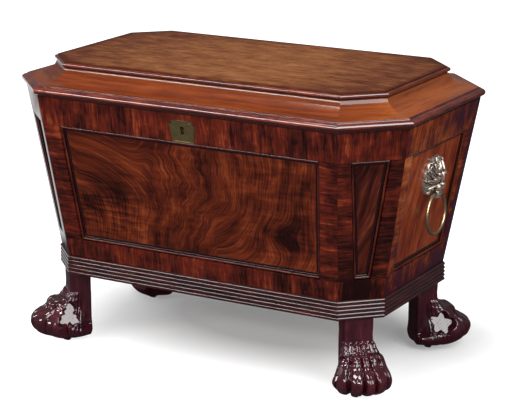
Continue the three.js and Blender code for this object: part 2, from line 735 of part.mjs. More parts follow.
// The room that the ring needs in the jaw as it swings: its own sweep about the hinge line
function jawRoomCut() {
  const reach = ring.radius - ring.wire;
  const steps = 10;
  const profile = Array.from({ length: steps + 1 }, (_, i) => {
    const along = reach * ((2 * i) / steps - 1);
    const fall = ring.radius - Math.sqrt(ring.radius ** 2 - along ** 2);
    return new THREE.Vector2(ring.wire + jawRoom + fall, along);
  });
  profile.unshift(new THREE.Vector2(0, -reach));
  profile.push(new THREE.Vector2(0, reach));
  const pivot = maskSizes(ringHingeShares);
  const sweep = new THREE.LatheGeometry(profile, 16).rotateZ(-Math.PI / 2).translate(...pivot);
  const side = 4 * ring.radius;
  const half = new THREE.BoxGeometry(side, side, side).translate(0, -side / 2, 0);
  const jaw = rod(ring.wire + 3 * jawRoom + seat, -ring.radius / 3, ring.radius / 3, pivot, "x", 16);
  return solid(sweep).intersect(solid(half.rotateX(Math.PI / 4).translate(...pivot))).add(jaw);
}

// A lion's mask of rounded masses, flat at the back, with a stud into the panel
function lionMask() {
  const tufts = maneTurns.map((turn) => {
    const angle = THREE.MathUtils.degToRad(turn);
    const across = maneShares.out * Math.cos(angle);
    const up = maneShares.centre + maneShares.out * Math.sin(angle);
    const at = maskSizes([across, up, maneShares.lift]);
    return stretched({ at, size: maskSizes(maneShares.size), turn }, 7, 5);
  });
  const masses = maskMassShares.map(({ at, size, turn }) =>
    stretched({ at: maskSizes(at), size: maskSizes(size), turn }, 10, 6),
  );
  const head = joinAll([...masses, ...tufts]);
  const far = 2 * ring.radius;
  const behind = block([-far, -far, -far], [far, far, seat]);
  const studTop = maskSize * maneShares.lift;
  const stud = rod(maskStud.radius, seat - maskStud.length, studTop, [0, 0, 0], "z", 12);
  return head.subtract(behind).subtract(jawRoomCut()).add(stud);
}

const maskShape = lionMask();
const hoop = new THREE.TorusGeometry(ring.radius, ring.wire, 8, 32);
hoop.rotateY(Math.PI / 2).translate(0, 0, -ring.radius);
const hoopShape = solid(hoop);
for (const side of [rightSide, leftSide]) {
  const name = sides[side][0];
  const mask = new THREE.Group();
  mask.applyMatrix4(wallAxes(side).multiply(new THREE.Matrix4().makeTranslation(0, maskUp, panelFace)));
  mask.add(piece(`${name}_lion_mask`, maskShape, brass));
  const pivot = new THREE.Vector3(...maskSizes(ringHingeShares));
  const handle = piece(`${name}_ring`, hoopShape, brass);
  handle.position.copy(pivot.applyMatrix4(mask.matrix));
  cellarette.add(mask, handle);
}

// The liner: sloping zinc walls that follow the inside of the body, soldered to a floor
const linerTop = bodyTop - liner.drop;
const linerInset = (height) => wallInset(height) + wallSpan + seat;
const linerSpan = liner.thickness * slope;
const linerBottom = bodyBottom + seat;
const linerFloor = linerBottom + liner.thickness;
const linerWalls = mitredRing(outline, [
  [linerInset(linerBottom), linerBottom],
  [linerInset(linerTop), linerTop],
  [linerInset(linerTop) + linerSpan, linerTop],
  [linerInset(linerBottom) + linerSpan, linerBottom],
]);
const linerBase = slab(
  drawnIn(outline, linerInset(linerBottom) + linerSpan / 2),
  linerBottom,
  linerFloor,
);
cellarette.add(piece("zinc_liner", solid(linerWalls).add(solid(linerBase)), zinc));

// The divisions, halved into each other, with ends that follow the liner
const divisionLow = linerFloor + seat;
const divisionHigh = divisionLow + division.height;
const divisionMiddle = divisionLow + division.height / 2;
const divisionHalf = division.thickness / 2;
const notchHalf = divisionHalf + seat;
const divisionEnd = (half, height) => half - linerInset(height) - linerSpan - seat;
const divisionBoard = (half) => {
  const low = divisionEnd(half, divisionLow);
  const high = divisionEnd(half, divisionHigh);
  const face = slab(
    [[-low, divisionLow], [low, divisionLow], [high, divisionHigh], [-high, divisionHigh]],
    -divisionHalf,
    divisionHalf,
  );
  return face.rotateX(Math.PI / 2);
};
const crossAcross = halfWidth - division.endInset;
const crossPlaces = [-crossAcross, 0, crossAcross];
let longDivision = solid(divisionBoard(halfWidth));
for (const x of crossPlaces) {
  const notch = block([x - notchHalf, -depth, divisionMiddle], [x + notchHalf, depth, lidBottom]);
  longDivision = longDivision.subtract(notch);
}
cellarette.add(piece("long_division", longDivision, mahogany));
const crossNotch = block([-depth, -notchHalf, 0], [depth, notchHalf, divisionMiddle + seat]);
["left", "middle", "right"].forEach((name, i) => {
  const board = solid(divisionBoard(halfDepth).rotateZ(Math.PI / 2)).subtract(crossNotch);
  const mesh = piece(`${name}_cross_division`, board, mahogany);
  mesh.position.x = crossPlaces[i];
  cellarette.add(mesh);
});

export default cellarette;
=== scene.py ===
# %% [markdown]
# # A mahogany cellarette of about 1815
# A cellarette is a lockable box for wine bottles that stood under the sideboard. This one is
# shaped like a sarcophagus: a box with cut corners that widens as it rises, under a coved lid,
# on carved lion's paws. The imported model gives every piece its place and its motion, and this
# lesson gives the pieces their mouldings, carving, veneer and polish.

import bpy
import numpy as np
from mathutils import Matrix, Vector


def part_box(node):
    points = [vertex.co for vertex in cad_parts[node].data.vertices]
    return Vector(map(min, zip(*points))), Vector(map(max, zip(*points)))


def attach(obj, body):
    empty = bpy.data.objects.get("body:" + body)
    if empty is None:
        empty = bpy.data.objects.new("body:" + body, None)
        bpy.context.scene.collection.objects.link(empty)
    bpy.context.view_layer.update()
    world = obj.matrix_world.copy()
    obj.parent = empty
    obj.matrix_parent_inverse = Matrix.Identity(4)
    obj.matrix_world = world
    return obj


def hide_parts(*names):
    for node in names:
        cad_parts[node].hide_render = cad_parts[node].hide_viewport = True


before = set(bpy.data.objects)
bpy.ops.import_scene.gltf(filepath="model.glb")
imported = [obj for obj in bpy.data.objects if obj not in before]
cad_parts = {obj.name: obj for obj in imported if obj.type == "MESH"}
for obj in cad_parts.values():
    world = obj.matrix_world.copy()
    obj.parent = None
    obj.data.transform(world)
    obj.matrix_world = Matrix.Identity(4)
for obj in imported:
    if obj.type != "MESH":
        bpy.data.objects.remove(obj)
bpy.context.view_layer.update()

# %% [markdown]
# ## One plan for the whole box
# Lid, walls, base and floor are all cut to one outline: a rectangle with its corners cut at 45
# degrees, drawn in by more or less. When such an outline is drawn in by an inset, its half
# sizes shrink by the inset and its cut corners by 2 - sqrt 2 of it. With this one formula every
# moulding is mitred where its neighbours meet, as a cabinet maker's mitre block would do it.

# %% The plan and the main heights
MM = 0.001
WIDTH, DEPTH, CANT = 760 * MM, 464 * MM, 90 * MM
BODY_BOTTOM, BODY_TOP, LID_BOTTOM = 167.6 * MM, 460.3 * MM, 460.8 * MM
BOTTOM_INSET, TOP_INSET = 59 * MM, 7 * MM
LEAN = (BOTTOM_INSET - TOP_INSET) / (BODY_TOP - BODY_BOTTOM)
SLOPE = np.hypot(1, LEAN)
SIDES = ["right", "rear_right", "rear", "rear_left", "left", "front_left", "front", "front_right"]


def half_sizes(inset):
    """Half the width and half the depth less the inset, and the cut corner, which shrinks by
    2 - sqrt 2 of the inset."""
    return WIDTH / 2 - inset, DEPTH / 2 - inset, CANT - (2 - 2**0.5) * inset


def plan(inset):
    """The eight corners of the plan, anticlockwise from the front right: each lies at the half
    width or the half depth, and back from the other one by the cut corner."""
    a, b, c = half_sizes(np.asarray(inset, float)[..., None])
    x = np.concatenate([a, a, a - c, c - a, -a, -a, c - a, a - c], -1)
    y = np.concatenate([c - b, b - c, b, b, b - c, c - b, -b, -b], -1)
    return np.stack([x, y], -1)


def wall_inset(height):
    """The walls lean out as they rise: the inset falls evenly from the foot to the top."""
    return BOTTOM_INSET - (height - BODY_BOTTOM) * LEAN


print("corners of the rim, mm:", (plan(0) / MM).round(1).tolist())

# %% [markdown]
# ## From a grid of points to a mesh
# Each new piece is a surface: a grid of points worked out with numpy as whole arrays. A grid can
# wrap round in one direction, like a tube, or in both, like a ring, and its open ends can be
# closed by a pole. Blender's foreach_set then puts the arrays into the mesh in one step, which
# is far quicker than adding faces one by one. The UV map called grain holds metres along the
# wood's grain and across it, so that one veneer pattern fits every piece at its real scale.

# %% Faces over a grid
def faces_of(rows, columns, around, along):
    """The four corners of every face, as point numbers: row * columns + column, where a closed
    grid starts again after its last row or column."""
    i, j = np.meshgrid(np.arange(rows if along else rows - 1),
                       np.arange(columns if around else columns - 1), indexing="ij")
    low, high, left, right = i * columns, (i + 1) % rows * columns, j, (j + 1) % columns
    return np.stack([low + left, low + right, high + right, high + left], -1)


def pole_fans(points):
    """A point in the middle of the first row and of the last, and a fan of triangles from each
    to its row. The second fan runs the other way round, so that both face outwards."""
    rows, columns = points.shape[:2]
    ring, last = np.arange(columns), (rows - 1) * columns
    after, pole = np.roll(ring, -1), np.full(columns, rows * columns)
    fans = [np.stack([pole, after, ring], -1), np.stack([pole + 1, last + ring, last + after], -1)]
    return points[[0, -1]].mean(1), np.concatenate(fans)


def inside_out(place, loops, starts, sizes):
    """Whether the volume is negative: the sum of a . (b x c) + a . (c x d) over all faces, where
    a, b, c and d are a face's corners. A triangle's d is its c again."""
    a, b, c = (place[loops[starts + k]] for k in range(3))
    d = place[loops[starts + sizes - 1]]
    return (np.cross(b, c) * a).sum() + (np.cross(c, d) * a).sum() < 0


print("a tube of 3 rings of 8 points has", len(faces_of(3, 8, True, False).reshape(-1, 4)), "faces")


# %% The helper that makes a piece from a grid
def keep_folds(mesh, columns, folds):
    """The edges that run along a fold stay crisp: both their ends have the fold's column."""
    ends, crisp = np.empty(2 * len(mesh.edges), np.int32), np.empty(len(mesh.edges), bool)
    mesh.edges.foreach_get("vertices", ends)
    mesh.edges.foreach_get("use_edge_sharp", crisp)
    start, end = ends.reshape(-1, 2).T % columns
    mesh.edges.foreach_set("use_edge_sharp", crisp | ((start == end) & np.isin(start, folds)))


def skin(name, points, grain=None, around=False, along=False, poles=False, sharp=35, folds=(),
         **values):
    """A mesh over points (rows, columns, 3). around joins the last column to the first, along
    joins the last row to the first, and poles closes the two ends with a fan to their middle.
    grain holds (along, across) metres for each corner of each face: (rows, columns, 4, 2).
    Edges past sharp degrees shade crisp, and values become attributes of the points."""
    rows, columns = points.shape[:2]
    quads, place = faces_of(rows, columns, around, along), points.reshape(-1, 3)
    spots = np.zeros(quads.shape + (2,)) if grain is None else grain
    loops, spots, sizes = quads.ravel(), spots.reshape(-1, 2), np.full(quads.size // 4, 4)
    if poles:
        middles, fans = pole_fans(points)
        place, loops = np.vstack([place, middles]), np.append(loops, fans)
        sizes = np.append(sizes, [3] * len(fans))
        spots = np.vstack([spots, np.zeros((fans.size, 2))])
    starts = np.cumsum(sizes) - sizes
    if (around or along) and inside_out(place, loops, starts, sizes):
        turned = (2 * starts + sizes - 1).repeat(sizes) - np.arange(len(loops))
        loops, spots = loops[turned], spots[turned]
    mesh = bpy.data.meshes.new(name)
    mesh.vertices.add(len(place))
    mesh.vertices.foreach_set("co", place.astype(np.float32).ravel())
    mesh.loops.add(len(loops))
    mesh.loops.foreach_set("vertex_index", loops.astype(np.int32))
    mesh.polygons.add(len(sizes))
    mesh.polygons.foreach_set("loop_start", starts.astype(np.int32))
    mesh.uv_layers.new(name="grain").data.foreach_set("uv", spots.astype(np.float32).ravel())
    for label, value in values.items():
        value = np.broadcast_to(value, (rows, columns))
        value = np.append(value, [0] * (len(place) - value.size)).astype(np.float32)
        mesh.attributes.new(label, "FLOAT", "POINT").data.foreach_set("value", value)
    mesh.update(calc_edges=True)
    mesh.shade_smooth()
    mesh.set_sharp_from_angle(angle=np.radians(sharp))
    if len(folds):
        keep_folds(mesh, columns, folds)
    piece = bpy.data.objects.new(name, mesh)
    bpy.context.scene.collection.objects.link(piece)
    return piece


def corners_of(grid, closed=False):
    """The values at the four corners of every face, in the order of skin, for an open grid or
    for one that is closed both ways."""
    if closed:
        grid = np.pad(grid, [(0, 1), (0, 1), (0, 0)], "wrap")
    return np.stack([grid[:-1, :-1], grid[:-1, 1:], grid[1:, 1:], grid[1:, :-1]], 2)


print("a sheet of 3 by 4 points has corners in the shape", corners_of(np.zeros((3, 4, 2))).shape)


# %% Curves that the shapes share
def ramp(value, start, end):
    """0 up to the start, 1 from the end on, and evenly rising between them."""
    return np.clip((value - start) / (end - start), 0, 1)


def hill(value, top, reach):
    """A smooth hill of height 1: e to the power of -((value - top) / reach)^2."""
    return np.exp(-(((value - top) / reach) ** 2))


def fade(value, middle, reach):
    """From 1 to 0 as the value passes the middle: 1 / (1 + e^((value - middle) / reach)). A
    negative reach makes it rise."""
    return 1 / (1 + np.exp((value - middle) / reach))


def arc(middle, halves, start, end, steps):
    """Points on an arc: the middle, plus the half sizes times the cosine and sine of the turn."""
    turn = np.radians(np.linspace(start, end, steps + 1))[:, None]
    return np.asarray(middle) + np.asarray(halves) * np.hstack([np.cos(turn), np.sin(turn)])


print("a hill, 0, 1 and 2 reaches off its top:", hill(np.arange(3), 0, 1).round(3))

# %% [markdown]
# ## The lid's mouldings
# The lid is a frame with a half-round edge, then a fillet, a cove, and a slab with a rounded
# edge that carries the raised field. On the real lid these are mouldings that were planed in
# lengths, mitred at the eight corners, and glued to a softwood core. A profile that is carried
# round the plan does the same. The mitres stay sharp, so each length shades as a straight one.

# %% Profiles carried round the plan
RIGHT_END = 290 * MM, 320 * MM
NEXT_LENGTH = 1.37


def moulding(name, profile, right=0.0, under=0):
    """A closed profile of (inset, height) pairs, each pair carried round the eight corners of
    the plan. The grain follows each length, and starts NEXT_LENGTH metres further on in the
    next one, so that no two look alike. right makes the wood of the right end lighter, and the
    first rows, as many as under says, are darkened as painted shade under the moulding."""
    ring = plan(profile[:, 0])
    heights = np.broadcast_to(profile[:, 1, None, None], ring.shape[:2] + (1,))
    points = np.concatenate([ring, heights], -1)
    half = np.linalg.norm(np.roll(ring, -1, 1) - ring, axis=-1) / 2
    after = np.roll(half, -1, 0)
    walked = np.append(0, np.cumsum(np.hypot(*(np.roll(profile, -1, 0) - profile).T)))
    along = np.stack([-half, half, after, -after], -1) + NEXT_LENGTH * np.arange(8)[:, None]
    across = np.stack([walked[:-1], walked[:-1], walked[1:], walked[1:]], -1)[:, None]
    grain = np.stack([along, across + np.zeros((8, 1))], -1)
    # Painted shade: the first rows, under the moulding's overhang, are darkened.
    dark = 0.7 * (np.arange(len(profile)) < under)[:, None]
    tone = right * ramp(points[..., 0], *RIGHT_END) - dark
    return skin(name, points, grain, around=True, along=True, folds=range(8), cloud=tone)


def above_lid(*points):
    """Profile points in millimetres above the lid's underside, in metres above the floor."""
    return np.vstack(points) * MM + (0, LID_BOTTOM)


UNDERSIDE = 0.05
lid_frame_profile = above_lid(
    (7.4, UNDERSIDE), (7, 0.4), (7, 2.6), *arc((6.4, 9.2), (6.4, 6.4), 266, 94, 30),
    (8.9, 15.7), (9, 15.9), (9, 17.6), *arc((9.5, 17.6), (0.5, 0.5), 180, 90, 3),
    (11.7, 18.1), (12, 17.8), (12, 17.2), (80, 17.2), (80, UNDERSIDE))
cove_profile = above_lid(
    (12.1, 17.3), (12.1, 18), *arc((12.1, 43.4), (46.4, 25.2), 272, 354, 28),
    (60.4, 41.4), (80, 41.4), (80, 17.3))
slab_profile = above_lid(
    (60.2, 42.2), (59.4, 43.3), *arc((58.5, 47.2), (3.2, 3.4), 256, 90, 18),
    (60.3, 50.6), (60.5, 50.4), (60.5, 42.2))
# Painted shade: the underside, the quirk and the lower half of the half round are darkened.
lid_frame = moulding("lid_frame_moulded", lid_frame_profile, under=16)
lid_cove = moulding("lid_cove_moulded", cove_profile, right=0.4)
lid_slab = moulding("lid_slab_edge_moulded", slab_profile)
print("lid frame", lid_frame.dimensions[:], "cove", lid_cove.dimensions[:])

# %% [markdown]
# ## The field on top of the lid
# A raised field of one sheet of veneer with its grain along the box. Its plan has eight sides,
# but a grid has four. So the grid's rows are drawn together where the corners are cut: the half
# depth falls one for one with the distance past the start of the cut corner. The attribute
# called cloud makes the wood lighter or darker. Here it darkens the field along its edges.

# %% The lid's field
FIELD_INSET, FIELD_TOP, FIELD_THICK = 60.7 * MM, 513.4 * MM, 12 * MM


def field_sheet(rows=90, columns=240):
    """x runs along the box, and y = share * (b - how far |x| is past the cut corner's start)."""
    a, b, c = half_sizes(FIELD_INSET)
    x = np.sort(np.append(np.linspace(-a, a, columns - 2), [c - a, a - c]))
    y = np.linspace(-1, 1, rows)[:, None] * (b - np.maximum(0, abs(x) - (a - c)))
    return np.dstack([np.broadcast_to(x, y.shape), y, np.full(y.shape, FIELD_TOP)])


def field_tones(x, y):
    """Dark hills along the edges, at the left, at the right and at the rear, and a light one
    in the middle. A cut corner's line is where |x| + |y| reaches half the width plus half the
    depth less the corner."""
    a, b, c = half_sizes(FIELD_INSET)
    from_edge = np.minimum.reduce([a - abs(x), b - abs(y), (a + b - c - abs(x) - abs(y)) / 2**0.5])
    return (0.1 * hill(x, 0.05, 0.14) - 0.42 * hill(from_edge, 0, 8 * MM)
            - 0.24 * hill(x, -0.33, 0.12) - 0.16 * hill(y, 0.19, 0.06) - 0.2 * hill(x, 0.27, 0.1))


sheet = field_sheet()
lid_field = skin("lid_field_veneered", sheet, corners_of(sheet[..., :2]),
                 cloud=field_tones(sheet[..., 0], sheet[..., 1]))
lid_field.modifiers.new("thickness", "SOLIDIFY").thickness = FIELD_THICK
lid_field.modifiers["thickness"].offset = -1
edge = lid_field.modifiers.new("eased edge", "BEVEL")
edge.width, edge.segments = 0.5 * MM, 2
edge.limit_method, edge.angle_limit = "ANGLE", np.radians(60)
print("field", (sheet.max((0, 1)) - sheet.min((0, 1))).round(4))

# %% [markdown]
# ## The walls
# Each wall is a frame of mahogany crossbanding round a sunk panel. Crossbanding is veneer that is
# cut in short leaves with its grain at right angles to the edge. The rails run the whole width
# here and the stiles stand between them. In each wall's own axes, S runs along it, H up its slope
# and N out of it. A frame is then a ring of loops: round the back, over the eased arrises, across
# the face and down into the rebate. Each loop has eight corners: its own four, and the four
# places where the joint between a stile and a rail meets it.

# %% Places on a wall
STILES_AND_RAIL = dict(long=(32.5, 32.5, 33), cant=(27, 23, 35.5), end=(24, 28, 37.5))
KIND_OF = ["end", "cant", "long", "cant"] * 2
WALL, SINK, REBATE, TOP_RAIL, EASE = 20 * MM, 6.5 * MM, 6 * MM, 49.3 * MM, 0.7 * MM
GLUE = 0.05 * MM


def wall_ends(side, height, inwards=0.0):
    """The two corners where a wall meets its neighbours, at one height and one depth."""
    corners = plan(wall_inset(height) + inwards)[[side, (side + 1) % 8]]
    return np.column_stack([corners, [height, height]])


def wall_axes(side):
    """The middle of a wall's foot, and its axes: along it, up its slope, and out of it."""
    low, high = wall_ends(side, BODY_BOTTOM), wall_ends(side, BODY_TOP)
    along, up = low[1] - low[0], high.mean(0) - low.mean(0)
    along, up = along / np.linalg.norm(along), up / np.linalg.norm(up)
    return low.mean(0), np.array([along, up, np.cross(along, up)])


def on_wall(side, places):
    """Points given as (S, H, N) in a wall's axes, in the frame of the whole object."""
    foot, axes = wall_axes(side)
    return foot + places @ axes


def opening(side):
    """The frame's opening as four corners (S, H), anticlockwise from the lower left."""
    low_stile, high_stile, rail = np.array(STILES_AND_RAIL[KIND_OF[side]]) * MM
    heights, stiles = (BODY_BOTTOM + rail, BODY_TOP - TOP_RAIL), (low_stile, high_stile)
    half = [np.linalg.norm(np.diff(wall_ends(side, height), axis=0)) / 2 - stile
            for height, stile in zip(heights, stiles)]
    low, high = [(height - BODY_BOTTOM) * SLOPE for height in heights]
    return np.array([[-half[0], low], [half[0], low], [half[1], high], [-half[1], high]])


print("front opening, mm:", (opening(6) / MM).round(1).tolist())


# %% Loops round an opening
def drawn_in(outline, distance):
    """Each corner moves by the sum of its two sides' inward normals, times the distance over one
    plus the normals' dot product, so that every side moves in by the distance."""
    def inward(start, end):
        way = (end - start)[:, ::-1] * (-1, 1)
        return way / np.linalg.norm(way, axis=1, keepdims=True)
    before = inward(np.roll(outline, 1, 0), outline)
    after = inward(outline, np.roll(outline, -1, 0))
    share = (before + after) / (1 + (before * after).sum(1, keepdims=True))
    return outline + np.asarray(distance)[..., None, None] * share


def loops_in(outline, profile):
    """One loop for each (distance drawn in, N) pair of a profile: (rows, corners, 3)."""
    profile = np.asarray(profile, float)
    loops = drawn_in(outline, profile[:, 0])
    return np.dstack([loops, np.broadcast_to(profile[:, 1, None], loops.shape[:2])])


def butted(loops, low, high):
    """Adds the joints to loops of four corners. A joint lies on the line from a lower corner to
    the upper one, where that line reaches the height low or high, clear of both corners."""
    clear = 0.06 * MM
    joints = []
    for lower, upper in ((loops[:, 1], loops[:, 2]), (loops[:, 0], loops[:, 3])):
        for height in (np.maximum(low, lower[:, 1] + clear), np.minimum(high, upper[:, 1] - clear)):
            share = (height - lower[:, 1]) / (upper[:, 1] - lower[:, 1])
            joints.append(lower + share[:, None] * (upper - lower))
    return np.stack([loops[:, 0], loops[:, 1], joints[0], joints[1],
                     loops[:, 2], loops[:, 3], joints[3], joints[2]], 1)


def frame_loops(side):
    """Loops from the back of the mitre over its arris, across the face, and into the rebate. The
    mitres stand clear of each other by the glue."""
    foot, axes = wall_axes(side)

    def outer(inwards, gap=GLUE):
        low = wall_ends(side, BODY_BOTTOM, inwards)
        high = wall_ends(side, BODY_TOP - GLUE, inwards)
        corners = (np.array([low[0], low[1], high[1], high[0]]) - foot) @ axes.T
        corners[:, 0] -= np.sign(corners[:, 0]) * gap
        return corners
    back, shoulder = outer(WALL * SLOPE), outer(EASE * SLOPE)
    edge = loops_in(outer(0, 0)[:, :2], [(0.3 * EASE, -0.3 * EASE), (EASE, 0)])
    inner = loops_in(opening(side), [(-EASE, 0), (-0.3 * EASE, -0.3 * EASE), (0, -EASE),
                                     (0, -SINK), (-REBATE, -SINK), (-REBATE, -WALL)])
    return butted(np.vstack([back[None], shoulder[None], edge, inner]), *opening(side)[[0, 2], 1])


print("loops of a frame:", frame_loops(6).shape)

# %% The eight frames
STRIP_OF_CORNER = np.array([0, 0, 1, 2, 2, 2, 3, 0])[:, None]
NEXT_STRIP, NEXT_WALL = 0.713, 3.1


def wall_frame(side):
    """The rails' grain runs up and the stiles' runs across. The lower rails of the cants and the
    ends are darker, and the rear stile of each end carries painted shade."""
    loops = frame_loops(side)
    s, h, n = np.moveaxis(corners_of(loops, closed=True), -1, 0)
    rail = STRIP_OF_CORNER % 2 == 0
    along = np.where(rail, h, s) + n
    across = np.where(rail, s, h) + NEXT_STRIP * STRIP_OF_CORNER + NEXT_WALL * side
    points = on_wall(side, loops)
    shade = np.zeros(points.shape[:2])
    if KIND_OF[side] != "long":
        shade = shade - 0.35 * ramp(points[..., 2], BODY_BOTTOM + 55 * MM, BODY_BOTTOM + 40 * MM)
    # Painted shade on the rear stile of each end; the rest of each end is made a little lighter.
    if KIND_OF[side] == "end":
        shade = shade + 0.1 - 0.6 * ramp(points[..., 1], 100 * MM, 120 * MM)
    return skin(SIDES[side] + "_frame_crossbanded", points, np.stack([along, across], -1),
                around=True, along=True, cloud=shade)


frames = [wall_frame(side) for side in range(8)]
print("frames:", len(frames), "with", len(frames[0].data.polygons), "faces each")

# %% [markdown]
# ## The beads round the panels
# A small moulding is planted round each opening: a quirk, which is a thin dark gap, then a half
# round, and a little cove down to the panel. The quirk and the cove are painted dark as shade,
# so it shows as a black line with a thin light beside it. The value called cloud holds
# this painted shade, and the light comes from real roundness, so the profile has many steps.

# %% The eight beads
BEAD = np.vstack([
    (0.1, -6.55), (0.1, -5.6), (0.8, -5.6), *arc((3.0, -4.0), (2.2, 2.2), 190, -10, 14),
    (5.3, -6.0), *arc((9.6, -5.2), (3.6, 1.0), 180, 270, 8), (9.6, -6.55)]) * MM
SHADED_ROWS = [1, 2, *range(16, len(BEAD))]
NEXT_BEAD = 2.3


def bead(side):
    """The profile's loops round the opening, with the grain along each of the four lengths."""
    loops = loops_in(opening(side), BEAD)
    s, h, n = np.moveaxis(corners_of(loops, closed=True), -1, 0)
    level = np.arange(4)[:, None] % 2 == 0
    grain = np.stack([np.where(level, s, h) + NEXT_BEAD * side, np.where(level, h, s) + n], -1)
    # Painted shade: the rows of the quirk and of the cove are darkened.
    painted_shade = -0.7 * np.isin(np.arange(len(BEAD)), SHADED_ROWS)[:, None]
    return skin(SIDES[side] + "_bead_planted", on_wall(side, loops), grain,
                around=True, along=True, folds=range(4), cloud=painted_shade)


beads = [bead(side) for side in range(8)]
print("beads:", len(beads))

# %% [markdown]
# ## The figured panels
# The panels are veneer from where the trunk forks, so the grain sways and billows. The fibres
# themselves are bent here, before any colour: the UV map is a plain sheet that has been pushed
# sideways by swaying waves, bent into arches at the left and swung round a centre at the right.
# The pattern is then drawn straight along that map, and the lines follow the bends as they do
# in the wood. A second value holds how dark each place of the sheet is, because the clouds in
# such veneer are larger than any fibre.

# %% The clouds of the sheets: (S, H, half width, half height, strength), in mm
FRONT_CLOUDS = [
    (-185, 118, 34, 26, -0.22), (-150, 92, 36, 16, -0.2), (-196, 70, 26, 40, -0.12),
    (-135, 128, 22, 22, -0.14), (-195, 190, 50, 26, 0.12), (-110, 150, 26, 60, 0.1),
    (-120, 44, 34, 22, 0.14), (-60, 16, 40, 20, -0.12), (-80, 100, 14, 70, -0.1),
    (-45, 118, 22, 40, 0.08), (10, 150, 40, 26, -0.08), (30, 95, 40, 40, 0.06),
    (20, 20, 50, 16, -0.14), (100, 160, 60, 26, 0.08), (165, 74, 34, 24, -0.24),
    (200, 110, 22, 40, -0.1), (120, 16, 60, 20, 0.14), (190, 24, 30, 20, 0.1),
    (60, 60, 30, 20, -0.08), (215, 180, 20, 40, -0.1)]
CANT_CLOUDS = [(-20, 60, 26, 40, -0.12), (24, 150, 26, 50, 0.1), (0, 200, 60, 14, -0.1)]
END_CLOUDS = [(-62, 40, 30, 40, -0.16), (-20, 96, 22, 34, -0.2), (22, 150, 20, 34, -0.14),
              (60, 60, 40, 60, 0.1), (-50, 150, 34, 50, 0.1), (95, 100, 14, 90, -0.2)]
print("clouds:", len(FRONT_CLOUDS), len(CANT_CLOUDS), len(END_CLOUDS))


# %% The figure of the long panels
def billow(s, h):
    """A fibre's number is its place across the sheet, swayed by waves that run down the sheet.
    Low on the right the fibres swing round a centre: there the number is the centre's place
    plus the distance from it. At the left they arch: the height above the arch's foot lengthens
    the distance from the sheet's edge."""
    sway = (6.5 * np.sin(h / 31 - s / 70 + 0.6) + 3.6 * np.sin(h / 13 + s / 42) * hill(s, -20, 130)
            + 2.6 * np.sin(h / 4.6 + 3 * np.sin(s / 29)) * hill(s, -5, 75))
    past, under = np.maximum(s - 40, 0), np.maximum(118 - h, 0)
    swing = np.minimum(s, 40) + np.sqrt(past**2 + fade(s, 10, -22) * under**2)
    knot = 26 * hill(s, 160, 34) * hill(h, 74, 26)
    from_left, arch = np.maximum(s + 225, 0), np.maximum(h - 96, 0)
    bend = np.hypot(from_left, 1.5 * arch) - from_left
    return swing + sway + knot + fade(s, -92, 12) * bend


print("fibre numbers along the middle:", billow(np.arange(-200, 201, 100), 100).round(1))


# %% The eight panels
PANEL_THICK, PANEL_GAP, NEXT_SHEET = 13.4 * MM, 0.1 * MM, 613


def panel(side, step=2.5 * MM):
    """A sheet between the opening's four corners, each row and column blended in between. mottle
    is how strongly the shimmer across the grain shows."""
    corners = drawn_in(opening(side), PANEL_GAP - REBATE)
    tall, wide = corners[2, 1] - corners[0, 1], corners[2, 0] - corners[3, 0]
    v = np.linspace(0, 1, int(tall / step) + 2)[:, None, None]
    u = np.linspace(0, 1, int(wide / step) + 2)[None, :, None]
    flat = ((1 - v) * ((1 - u) * corners[0] + u * corners[1])
            + v * ((1 - u) * corners[3] + u * corners[2]))
    s, h, mottle = flat[..., 0] / MM, (flat[..., 1] - corners[0, 1]) / MM, 0.3
    if KIND_OF[side] == "long":
        across, clouds = billow(s, h), FRONT_CLOUDS
        mottle = 0.3 + 0.9 * fade(s, -105, 18) * hill(h, 66, 50) + 0.2 * hill(s, 160, 50)
    elif KIND_OF[side] == "cant":
        across, clouds = s * 0.94 - 0.34 * h + 4 * np.sin(h / 24), CANT_CLOUDS
    else:
        across, clouds = s - 0.16 * h + 5 * np.sin(h / 40 + s / 50), END_CLOUDS
    shade = sum(strength * hill(s, at_s, wide_s) * hill(h, at_h, tall_h)
                for at_s, at_h, wide_s, tall_h, strength in clouds)
    grain = np.dstack([h, across + NEXT_SHEET * side]) * MM
    places = np.dstack([flat, np.full(s.shape, -SINK - PANEL_GAP)])
    piece = skin(SIDES[side] + "_panel_veneered", on_wall(side, places), corners_of(grain),
                 cloud=shade, mottle=mottle)
    back = piece.modifiers.new("thickness", "SOLIDIFY")
    back.thickness, back.offset = PANEL_THICK, -1
    return piece


panels = [panel(side) for side in range(8)]
print("panels:", [len(piece.data.polygons) for piece in panels])

# %% [markdown]
# ## The reeded base
# Five reeds run round the base, planed side by side. The valleys between them are sharp and the
# crests catch the light as thin lines. It is a moulding like those of the lid, with half an
# ellipse for each reed, and a rebate behind them for the floor board.

# %% The base
BASE_BOTTOM, REED = 134, 6.72
reeds = [arc((59, BASE_BOTTOM + REED * (i + 0.5)), (3, REED / 2), 268, 92, 14) for i in range(5)]
base_profile = np.vstack([
    (59.2, BASE_BOTTOM), *reeds, (59.2, 167.6), (95, 167.6), (95, 155.6), (112, 155.6),
    (112, BASE_BOTTOM)]) * MM
base = moulding("base_reeded", base_profile)
print("base", base.dimensions[:])

# %% [markdown]
# ## The carved paws
# Each leg is one block of mahogany, carved below into a lion's paw with five toes. It could be
# sculpted by hand, but a formula keeps the four alike. The carver first cuts the paw's outline
# from several sides, then the toes, then the hair, and the surface is made in that order. Nine
# profiles stand round the leg like the ribs of a fan, one every 22.5 degrees. A smooth curve
# runs through them in both directions, and it gives the shaft, the ankle, the knuckles and the
# toes' length. The valleys between the toes and the cuts of the gouge are then taken off it.

